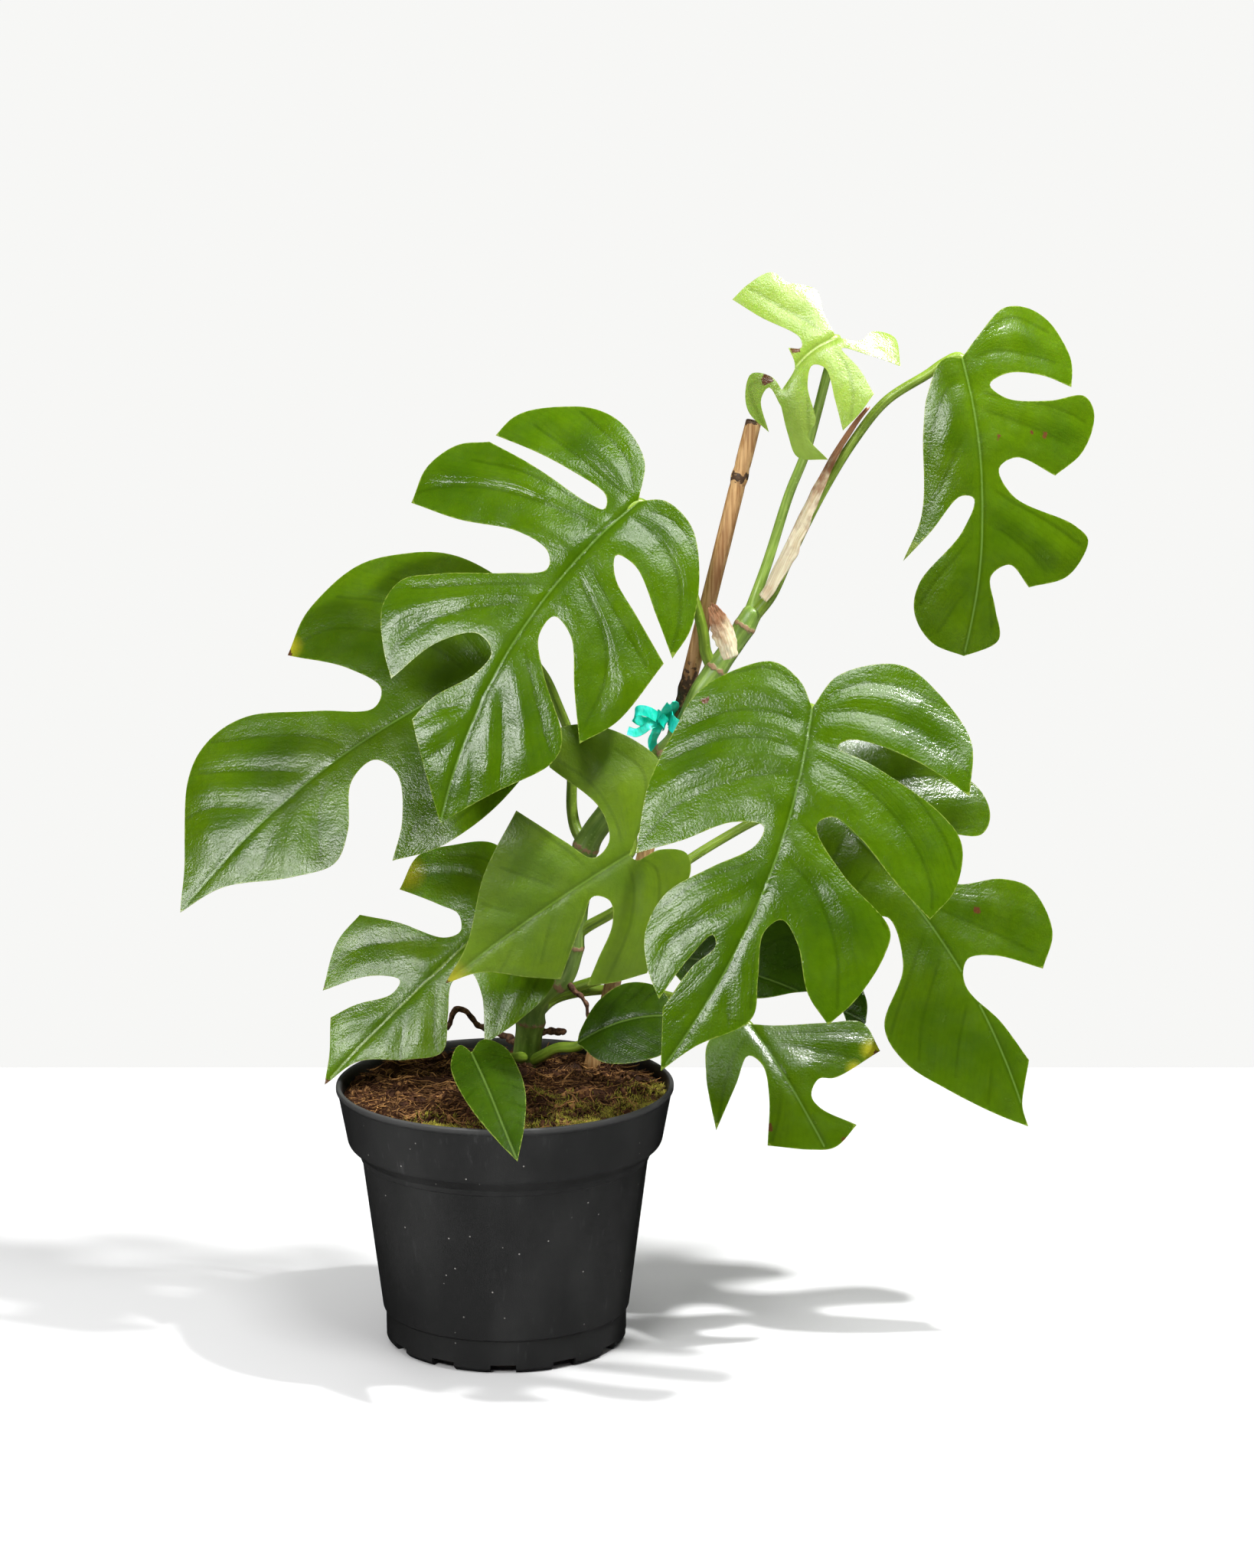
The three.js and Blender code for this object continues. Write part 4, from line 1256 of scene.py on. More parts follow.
@dataclass(frozen=True)
class Gauge:
    """What is measured at each point of a blade.

    It holds the distances from the midrib, the nearest side vein and the edge, a number that grows by one
    from each side vein to the next, and the distance between those two veins.
    """

    rib: np.ndarray
    vein: np.ndarray
    edge: np.ndarray
    flow: np.ndarray
    width: np.ndarray

    @property
    def fade(self) -> np.ndarray:
        """Gives 0 on the midrib and 1 away from it."""
        return 1 - hump(self.rib, 7)

    @property
    def rim(self) -> np.ndarray:
        """Gives 0 at the edge and 1 away from it."""
        return 1 - hump(self.edge, 6)


@dataclass
class Blade:
    """A leaf blade: a thin closed shell, quilted between its side veins, with raised ribs underneath."""

    plan: LeafPlan
    edge_step: float = 1.5
    grid: float = 1.9
    rib_step: float = 1.4
    thickness: float = 0.6
    pinnate: int = 6
    widest: float = 24.0
    full_quilt: float = 22.0
    past_veins: float = 26.0
    quilt_rise: float = 1.5
    rib_groove: float = 0.9
    vein_groove: float = 0.22

    def __post_init__(self) -> None:
        """Works out the blade's own directions and its veins."""
        plan = self.plan
        base, point = grown([plan.base, plan.point])
        self.base = base
        self.length = float(np.linalg.norm(point - base))
        self.along = unit(point - base)
        face = np.array(plan.face, float)
        self.out = unit(face - self.along * face.dot(self.along))
        self.across = np.cross(self.along, self.out)
        corners = [smooth_path(stretch, self.edge_step)[:-1] for stretch in plan.outline]
        self.outline = np.vstack(corners)
        self.veins = [self.side_veins(1, plan.right), self.side_veins(-1, plan.left)]

    def side_veins(self, side: int, given: list) -> list[np.ndarray]:
        """Gives the side veins on one side, drawn from the midrib to near the edge.

        Args:
            side: 1 for the right and -1 for the left.
            given: the veins as given, or an empty list for plain ones.

        Returns:
            The points of each side vein, from base to tip.
        """
        if not given:
            given = []
            for share in np.linspace(0.02, 0.86, self.pinnate):
                start, reach = share * self.length, 0.5 * self.length * (1 - 0.75 * share)
                bend = (start + 0.28 * reach, 0.4 * reach * side)
                given.append([(start, 0), bend, (start + reach, reach * side)])
        return [smooth_path(vein, 1.5) for vein in given]

    def bow(self, a: np.ndarray) -> np.ndarray:
        """Gives 0 at both ends of the leaf and 1 halfway."""
        return 4 * a * (self.length - a) / self.length**2

    def midrib(self, a: np.ndarray) -> np.ndarray:
        """Gives how far across the midrib lies."""
        return self.plan.sway * self.bow(a) * (a > 0)

    def heights(self, spots: np.ndarray) -> np.ndarray:
        """Gives the height of the blade's plain curve over the chord from base to point.

        Args:
            spots: places along and across the leaf.

        Returns:
            The height at each place.
        """
        a, b = spots[:, 0], spots[:, 1]
        offset = b - self.plan.sway * self.bow(a)
        drop = np.where(b < 0, self.plan.drop[0], self.plan.drop[1])
        return self.plan.arch * self.bow(a) - drop * (offset / 50) ** 2

    def spread(self) -> tuple[np.ndarray, list]:
        """Fills the outline with points and triangles, closest along the veins.

        Returns:
            Places along and across the leaf, and the triangles between them.
        """
        ring = self.outline
        low, high = ring.min(axis=0), ring.max(axis=0)
        rows = np.arange(low[0], high[0], self.grid * 0.866)
        columns = np.arange(low[1], high[1], self.grid)
        grid = np.array([(a, b + (i % 2) * self.grid / 2) for i, a in enumerate(rows) for b in columns])
        rib = np.arange(0.8, self.length - 1, self.rib_step)
        ribs = [np.stack([rib, self.midrib(rib) + shift], axis=1) for shift in (0, -1, 1, -2.1, 2.1)]
        lines = [*ribs, *self.veins[0], *self.veins[1]]
        inner = np.vstack(lines)
        inner = inner[self.inside(inner) & (nearest(inner, ring, closed=True)[0] > 0.7)]
        inner = thinned(inner, 0.7)
        grid = grid[self.inside(grid) & (nearest(grid, ring, closed=True)[0] > 0.5 * self.grid)]
        gap = np.min([nearest(grid, line)[0] for line in lines], axis=0)
        grid = grid[gap > 0.45 * self.grid]
        spots = np.vstack([ring, inner, grid])
        loop = [(i, (i + 1) % len(ring)) for i in range(len(ring))]
        places = [Vector(map(float, spot)) for spot in spots]
        found, _, faces, *_ = delaunay_2d_cdt(places, loop, [], 1, 1e-4)
        return np.array([tuple(spot) for spot in found]), [tuple(face) for face in faces]

    def inside(self, spots: np.ndarray) -> np.ndarray:
        """Tells which places lie inside the outline.

        Args:
            spots: places along and across the leaf.

        Returns:
            True or false for each place.
        """
        within = np.zeros(len(spots), bool)
        for (a, b), (c, d) in zip(self.outline, np.roll(self.outline, -1, axis=0)):
            spans = (b > spots[:, 1]) != (d > spots[:, 1])
            with np.errstate(divide="ignore", invalid="ignore"):
                within ^= spans & (spots[:, 0] < (c - a) * (spots[:, 1] - b) / (d - b) + a)
        return within

    def flow(self, spots: np.ndarray) -> tuple[np.ndarray, np.ndarray]:
        """Says where places lie between the side veins.

        Args:
            spots: places along and across the leaf.

        Returns:
            A number that grows by one from each side vein to the next, and the distance between those two.
        """
        value, width = np.zeros(len(spots)), np.full(len(spots), self.widest)
        right = spots[:, 1] >= self.midrib(spots[:, 0])
        for side, own, veins in ((1, right, self.veins[0]), (-1, ~right, self.veins[1])):
            picked = spots[own]
            if not len(picked):
                continue
            gaps = []
            for vein in veins:
                longer = np.vstack([vein, vein[-1] + unit(vein[-1] - vein[-2]) * 60])
                gap, turn = nearest(picked, longer)
                gaps.append(-gap * turn * side)
            gaps = np.array(gaps)
            passed = (gaps > 0).sum(axis=0)
            last = len(veins)
            before = np.abs(gaps[np.clip(passed - 1, 0, last - 1), np.arange(len(picked))])
            after = np.abs(gaps[np.clip(passed, 0, last - 1), np.arange(len(picked))])
            between = passed - 1 + before / np.maximum(before + after, 1e-6)
            first, past = passed == 0, passed == last
            beyond = np.minimum(np.where(first, after, before) / self.past_veins, 0.5)
            value[own] = np.where(first, -beyond, np.where(past, last - 1 + beyond, between))
            width[own] = np.where(first | past, self.widest, before + after)
        return value, width

    def measure(self, spots: np.ndarray) -> Gauge:
        """Measures each place on the blade.

        Args:
            spots: places along and across the leaf.

        Returns:
            What is measured at each of them.
        """
        reach = np.arange(0, self.length, self.rib_step)
        rib = nearest(spots, np.stack([reach, self.midrib(reach)], axis=1))[0]
        vein = np.min([nearest(spots, line)[0] for line in self.veins[0] + self.veins[1]], axis=0)
        edge = nearest(spots, self.outline, closed=True)[0]
        return Gauge(rib, vein, edge, *self.flow(spots))

    def quilting(self, spots: np.ndarray, gauge: Gauge) -> np.ndarray:
        """Swells the blade between its veins, grooves it along them and waves it towards its edge.

        Args:
            spots: places along and across the leaf.
            gauge: what is measured at each of them.

        Returns:
            The height of the upper skin over the blade's plain curve.
        """
        fade, rim = gauge.fade, gauge.rim
        flat = np.concatenate([spots, np.zeros((len(spots), 1))], axis=1)
        bulge = np.sin(math.pi * gauge.flow) ** 2 * np.minimum(1, (gauge.width / self.full_quilt) ** 1.3)
        bulge *= (0.35 + 0.65 * fade) * (0.3 + 0.7 * rim)
        groove = self.rib_groove * hump(gauge.rib, 1.9)
        groove = groove + self.vein_groove * hump(gauge.vein, 1.5) * rim * fade
        quilt = self.quilt_rise * bulge + 0.15 * ripple(flat, 9, 3.1) * fade * rim - groove
        wave = ripple(flat, 30, 7.7) * (0.4 + 0.9 * hump(gauge.edge, 12))
        return self.plan.quilt * quilt + self.plan.wave * wave

    def surface(self, spots: np.ndarray) -> tuple[np.ndarray, np.ndarray]:
        """Puts the blade's plain curve in the object's frame.

        Args:
            spots: places along and across the leaf.

        Returns:
            A point for each place, and the way out of the blade there.
        """
        heights = self.heights(spots)
        slope_a = (self.heights(spots + (NUDGE, 0)) - heights) / NUDGE
        slope_b = (self.heights(spots + (0, NUDGE)) - heights) / NUDGE
        way_out = unit(self.out - np.outer(slope_a, self.along) - np.outer(slope_b, self.across))
        plain = self.base + np.outer(spots[:, 0], self.along) + np.outer(spots[:, 1], self.across)
        return plain + np.outer(heights, self.out), way_out

    def shell(self, spots: np.ndarray, triangles: list, gauge: Gauge) -> tuple[np.ndarray, list]:
        """Closes the blade with an upper skin, a ribbed lower skin and the rim between them.

        Args:
            spots: places along and across the leaf.
            triangles: the triangles between them.
            gauge: what is measured at each place.

        Returns:
            The points and faces of the closed blade.
        """
        count, rim = len(spots), gauge.rim
        plain, way_out = self.surface(spots)
        top = self.quilting(spots, gauge)
        taper = 1 - np.clip(spots[:, 0] / self.length, 0, 1)
        ribs = (0.5 + 1.1 * taper) * hump(gauge.rib, 1.0 + 1.2 * taper) + 0.35 * hump(gauge.vein, 0.9)
        upper = plain + way_out * (top - 0.12 * hump(gauge.edge, 0.5))[:, None]
        lower = plain + way_out * (top - self.thickness * (0.5 + 0.5 * rim) - ribs * rim)[:, None]
        faces = oriented(triangles, spots)
        under = [tuple(i + count for i in face[::-1]) for face in faces]
        joins = [(b, a, a + count, b + count) for a, b in border(faces)]
        return np.vstack([upper, lower]), [*faces, *under, *joins]

    def blemished(self, spots: np.ndarray, kind: Spot) -> np.ndarray:
        """Says how strongly each place shows one kind of blemish.

        Args:
            spots: places along and across the leaf.
            kind: the kind of blemish.

        Returns:
            0 to 1 for each place.
        """
        level = np.zeros(len(spots))
        for spot in self.plan.blemishes:
            if spot.kind is kind:
                away = np.linalg.norm(spots - (spot.along, spot.across), axis=1) / spot.size
                level = np.maximum(level, np.clip(1.35 - away, 0, 1))
        return level

    def build(self, finish: bpy.types.Material) -> None:
        """Builds and dresses the blade.

        Args:
            finish: its material.
        """
        plan = self.plan
        spots, triangles = self.spread()
        gauge = self.measure(spots)
        points, faces = self.shell(spots, triangles, gauge)
        piece = make_piece(f"{plan.name}_leaf", points, faces, 60)
        for name in ("rib", "vein", "edge", "flow"):
            mark(piece, name, np.tile(getattr(gauge, name), 2))
        mark(piece, "upper", np.repeat([1.0, 0.0], len(spots)))
        for kind in Spot:
            mark(piece, kind.value, np.tile(self.blemished(spots, kind), 2))
        install(piece, finish, plan.slot, f"{plan.name}_blade")


def nearest(spots: np.ndarray, line: np.ndarray, closed: bool = False) -> tuple[np.ndarray, np.ndarray]:
    """Measures places against a line of points.

    Args:
        spots: places in two dimensions.
        line: the line's points.
        closed: whether it joins up with its own start.

    Returns:
        Each place's distance from the line, and which side of it the place lies on, 1 or -1.
    """
    starts = line if closed else line[:-1]
    steps = (np.roll(line, -1, axis=0) if closed else line[1:]) - starts
    best, turn = np.full(len(spots), np.inf), np.ones(len(spots))
    for start, step in zip(starts, steps):
        away = spots - start
        share = np.clip(away @ step / max(step @ step, 1e-9), 0, 1)
        gap = np.linalg.norm(away - share[:, None] * step, axis=1)
        closer = gap < best
        best = np.where(closer, gap, best)
        side = np.where(step[0] * away[:, 1] - step[1] * away[:, 0] < 0, -1.0, 1.0)
        turn = np.where(closer, side, turn)
    return best, turn


def thinned(spots: np.ndarray, gap: float) -> np.ndarray:
    """Drops places that lie closer than a gap to one kept before them.

    Args:
        spots: the places, first come first kept.
        gap: the least distance between two that are kept.

    Returns:
        The places that are kept.
    """
    kept: list[np.ndarray] = []
    for spot in spots:
        if not kept or np.min(np.linalg.norm(np.array(kept) - spot, axis=1)) > gap:
            kept.append(spot)
    return np.array(kept)


def oriented(triangles: list, spots: np.ndarray) -> list:
    """Turns each triangle so that along, across and out of the blade are right-handed.

    Args:
        triangles: the triangles, as place numbers.
        spots: places along and across the leaf.

    Returns:
        The triangles, turned where they need it.
    """
    turned_faces = []
    for a, b, c in triangles:
        (p, q), (r, s) = spots[b] - spots[a], spots[c] - spots[a]
        turned_faces.append((a, b, c) if p * s - q * r < 0 else (a, c, b))
    return turned_faces


def border(faces: list) -> list:
    """Gives the edges that only one triangle has, in that triangle's direction."""
    edges = {(a, b) for face in faces for a, b in zip(face, (*face[1:], face[0]))}
    return [(a, b) for a, b in sorted(edges) if (b, a) not in edges]


@dataclass
class Stalk:
    """A leaf stalk: swollen at its foot, slim along its length and thicker where it meets the blade."""

    blade: Blade
    foot: float = 3.0
    tip: float = 2.1
    sides: int = 20

    def build(self, finish: bpy.types.Material) -> None:
        """Builds and dresses the stalk, which runs on under the blade's midrib.

        Args:
            finish: its material.
        """
        plan, blade = self.blade.plan, self.blade
        reach = min(14.0, 0.2 * blade.length)
        under = np.array([(reach, float(blade.midrib(np.array([reach]))[0]))])
        end = blade.base + blade.along * under[0, 0] + blade.across * under[0, 1]
        end += blade.out * (blade.heights(under)[0] - 2.3)
        path = smooth_path([*grown(plan.stalk), blade.base - blade.out * (self.tip + 1.5), end], 1.1)
        reached = np.concatenate([[0], np.cumsum(np.linalg.norm(np.diff(path, axis=0), axis=1))])
        left = reached[-1] - reached
        radii = self.tip + (self.foot - self.tip) * np.exp(-reached / 24)
        radii += 0.2 * hump(left - reach - 6, 6)
        radii *= np.clip(left / reach, 0.25, 1) ** 0.6
        points, faces, along, around = sweep(path, radii, self.sides)
        stalk = make_piece(f"{plan.name}_petiole", points, faces)
        mark(stalk, "along", along)
        mark(stalk, "around", around)
        mark(stalk, "scar", np.repeat(0.8 * hump(reached, 2.2), self.sides))
        install(stalk, finish, "stalk", f"{plan.name}_stalk")


# ---- Dried sheaths and aerial roots ----


@dataclass
class Sheath:
    """A dried leaf sheath: a thin, ragged, curled shell along a path."""

    name: str
    path: np.ndarray
    span: Plan
    facing: Point
    radius: float
    spread: tuple
    thickness: float = 0.45
    columns: int = 22

    def build(self, finish: bpy.types.Material) -> None:
        """Builds and dresses the sheath.

        Args:
            finish: the material.
        """
        curve = smooth_path(self.path, 0.8)
        first, last = (round(share * (len(curve) - 1)) for share in self.span)
        curve = curve[first : last + 1]
        count = len(curve)
        ahead = unit(np.gradient(curve, axis=0))
        share = np.linspace(0, 1, count)
        knots = np.linspace(0, 1, len(self.spread))
        half = np.radians(np.interp(share, knots, self.spread))
        outer, inner, alongs, arounds = [], [], [], []
        for i in range(count):
            back = unit(np.array(self.facing) - ahead[i] * ahead[i].dot(self.facing))
            side = np.cross(ahead[i], back)
            for column in np.linspace(-1, 1, self.columns):
                place = Vector((column * 3, share[i] * 9, 0.7 * self.radius))
                ragged = 1 + 0.16 * noise.noise(Vector((share[i] * 14, math.copysign(3, column), 1)))
                turn = column * half[i] * ragged
                flare = 0.9 * abs(column) ** 3 * (0.3 + 0.7 * share[i])
                curl = self.radius + 0.55 * noise.noise(place) + flare
                way = back * math.cos(turn) + side * math.sin(turn)
                lift = ahead[i] * (0.9 * noise.noise(Vector((column * 8, 2, 5))) * share[i] ** 4 * 3)
                outer.append(curve[i] + way * (curl + self.thickness) + lift)
                inner.append(curve[i] + way * curl + lift)
                alongs.append(i * 0.8)
                arounds.append(column * half[i] / math.pi)
        faces = []
        size = count * self.columns
        for i in range(count - 1):
            for j in range(self.columns - 1):
                a = i * self.columns + j
                faces.append((a, a + 1, a + 1 + self.columns, a + self.columns))
                faces.append((a + size + self.columns, a + 1 + size + self.columns, a + 1 + size, a + size))
        for a, b in border(faces[::2]):
            faces.append((b, a, a + size, b + size))
        sheath = make_piece(f"{self.name}_paper", np.vstack([outer, inner]), faces)
        mark(sheath, "along", np.tile(alongs, 2))
        mark(sheath, "around", np.tile(arounds, 2))
        mark(sheath, "scar", np.tile(np.repeat(share**1.6, self.columns), 2))
        install(sheath, finish, "sheath", self.name)


@dataclass
class AerialRoot:
    """A dry, gnarled aerial root."""

    name: str
    path: tuple
    radii: Plan
    sides: int = 14

    def build(self, finish: bpy.types.Material) -> None:
        """Builds and dresses the root.

        Args:
            finish: the material.
        """
        path = smooth_path(grown(list(self.path)), 0.6)
        share = np.linspace(0, 1, len(path))
        path = path + np.stack([ripple(path, 5, seed) for seed in (1.5, 4.5, 7.5)], axis=1) * 0.8
        radii = self.radii[0] + (self.radii[1] - self.radii[0]) * share
        radii *= 1.12 + 0.34 * ripple(path, 2.6, 2.5)
        radii[-3:] *= (0.9, 0.75, 0.45)
        places = [[Vector((i * 0.5, j * 0.9, 3)) for j in range(self.sides)] for i in range(len(path))]
        knobs = 1 + 0.14 * np.array([[noise.noise(place) for place in row] for row in places])
        points, faces, _, _ = sweep(path, radii, self.sides, knobs)
        install(make_piece(f"{self.name}_bark", points, faces), finish, "root", self.name)


# ---- Studio ----


@dataclass(frozen=True)
class Lamp:
    """A rectangular lamp that hangs at one place and points at another."""

    name: str
    place: Point
    aim: Point
    watts: float
    size: Plan
    mirrored: bool = True

    def hang(self) -> None:
        """Puts the lamp in the scene."""
        light = bpy.data.lights.new(self.name, "AREA")
        light.shape = "RECTANGLE"
        light.energy = self.watts
        light.size, light.size_y = self.size
        lamp = bpy.data.objects.new(self.name, light)
        lamp.location = self.place
        lamp.rotation_euler = (Vector(self.aim) - Vector(self.place)).to_track_quat("-Z", "Y").to_euler()
        lamp.visible_glossy = self.mirrored
        bpy.context.scene.collection.objects.link(lamp)


@dataclass
class Studio:
    """A white table in a white room, small bright and large soft lamps, and the camera, in metres."""

    table_sides: float = 1.2
    table_front: float = -1.2
    table_back: float = 0.446
    table_tone: float = 0.86
    room_radius: float = 7.0
    room_heights: Plan = (-4, 8)
    room_sides: int = 24
    room_glow: float = 0.93
    sky: float = 0.22
    camera: Point = (0.0549, -1.8893, 0.6576)
    tilt: float = 78.0
    lens: float = 100.0
    sensor: float = 36.0
    lamps: tuple = (
        Lamp("key", (0.55, -0.11, 1.10), (0, 0, 0.15), 13.5, (0.05, 0.05)),
        Lamp("softbox", (-0.62, -1.05, 0.98), (0, 0, 0.25), 11, (0.6, 0.3)),
        Lamp("second_softbox", (0.34, -0.62, 1.45), (0, 0, 0.25), 7, (0.5, 0.3)),
        Lamp("overhead", (0, 0, 2.2), (0, 0, 0), 16, (2.6, 2.6), False),
        Lamp("rear", (-0.3, 1.9, 1.1), (0.05, 0, 0.3), 8, (1.6, 1.2), False),
    )

    def surface(
        self, name: str, points: list[Point], faces: list, tone: float, glow: float = 0.0
    ) -> bpy.types.Object:
        """Makes a plain matte part of the studio.

        Args:
            name: its name.
            points: its points in metres.
            faces: its faces, as point numbers.
            tone: how light a grey it is, 0 to 1.
            glow: how strongly it shines by itself.

        Returns:
            The object, marked as part of the stage.
        """
        mesh = bpy.data.meshes.new(name)
        mesh.from_pydata(points, [], faces)
        piece = bpy.data.objects.new(name, mesh)
        bpy.context.scene.collection.objects.link(piece)
        s = Shader(f"{name}_paint", Specular_IOR_Level=0.1, Roughness=0.9, Emission_Strength=glow)
        s.surface.inputs["Emission Color"].default_value = (1, 1, 0.985, 1)
        mesh.materials.append(s.finish((tone, tone, tone)))
        return piece

    def build_table(self) -> None:
        """Builds the table, which gives light back to the plant but isn't mirrored in it."""
        wide, front, back = self.table_sides, self.table_front, self.table_back
        corners = [(-wide, front, 0), (wide, front, 0), (wide, back, 0), (-wide, back, 0)]
        self.surface("floor", corners, [(0, 1, 2, 3)], self.table_tone).visible_glossy = False

    def build_room(self) -> None:
        """Builds the white walls, floor and ceiling, which only the camera sees."""
        sides, radius = self.room_sides, self.room_radius
        turns = [2 * math.pi * i / sides for i in range(sides)]
        ring = [(radius * math.cos(turn), radius * math.sin(turn)) for turn in turns]
        walls = [(x, y, z) for z in self.room_heights for x, y in ring]
        faces = [*ring_faces(2, sides), tuple(range(sides)), tuple(range(sides, 2 * sides))]
        room = self.surface("backdrop", walls, faces, 0, self.room_glow)
        room.visible_diffuse = room.visible_glossy = room.visible_shadow = False

    def build_sky(self) -> None:
        """Lights the scene evenly from all round."""
        world = bpy.data.worlds.new("studio")
        world.use_nodes = True
        background = world.node_tree.nodes["Background"]
        background.inputs["Color"].default_value = (1, 1, 1, 1)
        background.inputs["Strength"].default_value = self.sky
        world.cycles_visibility.glossy = False
        bpy.context.scene.world = world

    def build_camera(self) -> None:
        """Sets up the camera in front of the plant and a little above it."""
        camera = bpy.data.cameras.new("camera")
        camera.lens = self.lens
        camera.sensor_fit = "VERTICAL"
        camera.sensor_height = self.sensor
        eye = bpy.data.objects.new("camera", camera)
        eye.location = self.camera
        eye.rotation_euler = (math.radians(self.tilt), 0, 0)
        bpy.context.scene.collection.objects.link(eye)
        bpy.context.scene.camera = eye

    def build(self) -> None:
        """Builds the table, the room, the lamps, the sky and the camera."""
        self.build_table()
        self.build_room()
        for lamp in self.lamps:
            lamp.hang()
        self.build_sky()
        self.build_camera()
        bpy.context.scene.view_settings.view_transform = "Standard"


def main() -> None:
    """Builds the potted plant, piece by piece, and the studio round it."""
    NurseryPot().build()
    GrowingMedium().build()
    cane, stem = BambooCane(), MainStem()
    cane.build()
    stem.build(StalkFinish("stem_skin", (0.130, 0.230, 0.030), (0.260, 0.380, 0.080)).material())
    TieRibbon(cane, stem).build()
    skins = {skin: skin.value.material() for skin in Skin}
    ripe = StalkFinish("stalk_skin", (0.150, 0.255, 0.014), (0.300, 0.430, 0.050)).material()
    young = StalkFinish("young_stalk_skin", (0.210, 0.360, 0.040), (0.380, 0.540, 0.110)).material()
    routes = {}
    for plan in LEAVES:
        blade = Blade(plan)
        blade.build(skins[plan.skin])
        Stalk(blade).build(young if plan.skin in YOUNG_SKINS else ripe)
        routes[plan.name] = [*grown(plan.stalk), blade.base - blade.out * 2.8]
    tall, short = routes["upper_right"], grown([(100, 15, 198), (97, 14, 208), (91, 14, 221)])
    papery = papery_sheath()
    for sheath in (
        Sheath("dried_sheath_tall", tall, (0.06, 0.7), (-0.75, -0.5, 0.45), 3.9, (55, 90, 66, 30, 8)),
        Sheath("dried_sheath_short", short, (0, 1), (0.2, -1, 0.2), 5.0, (40, 60, 18)),
    ):
        sheath.build(papery)
    bark = root_bark()
    for name, path, radii in ROOTS:
        AerialRoot(name, path, radii).build(bark)
    Studio().build()


ROOTS = [
    (
        "aerial_root_left",
        ((9, 36, 12), (-3, 43, 16), (-13, 48, 19), (-20, 49, 26), (-24, 49, 25), (-28, 49, 17)),
        (1.6, 1.0),
    ),
    ("aerial_root_stub", ((10, 33, 20), (19, 33, 21), (27, 31, 20)), (1.9, 1.4)),
    ("aerial_root_right", ((24, 27, 49), (31, 24, 43), (36, 24, 36), (37, 25, 30)), (1.4, 0.7)),
]

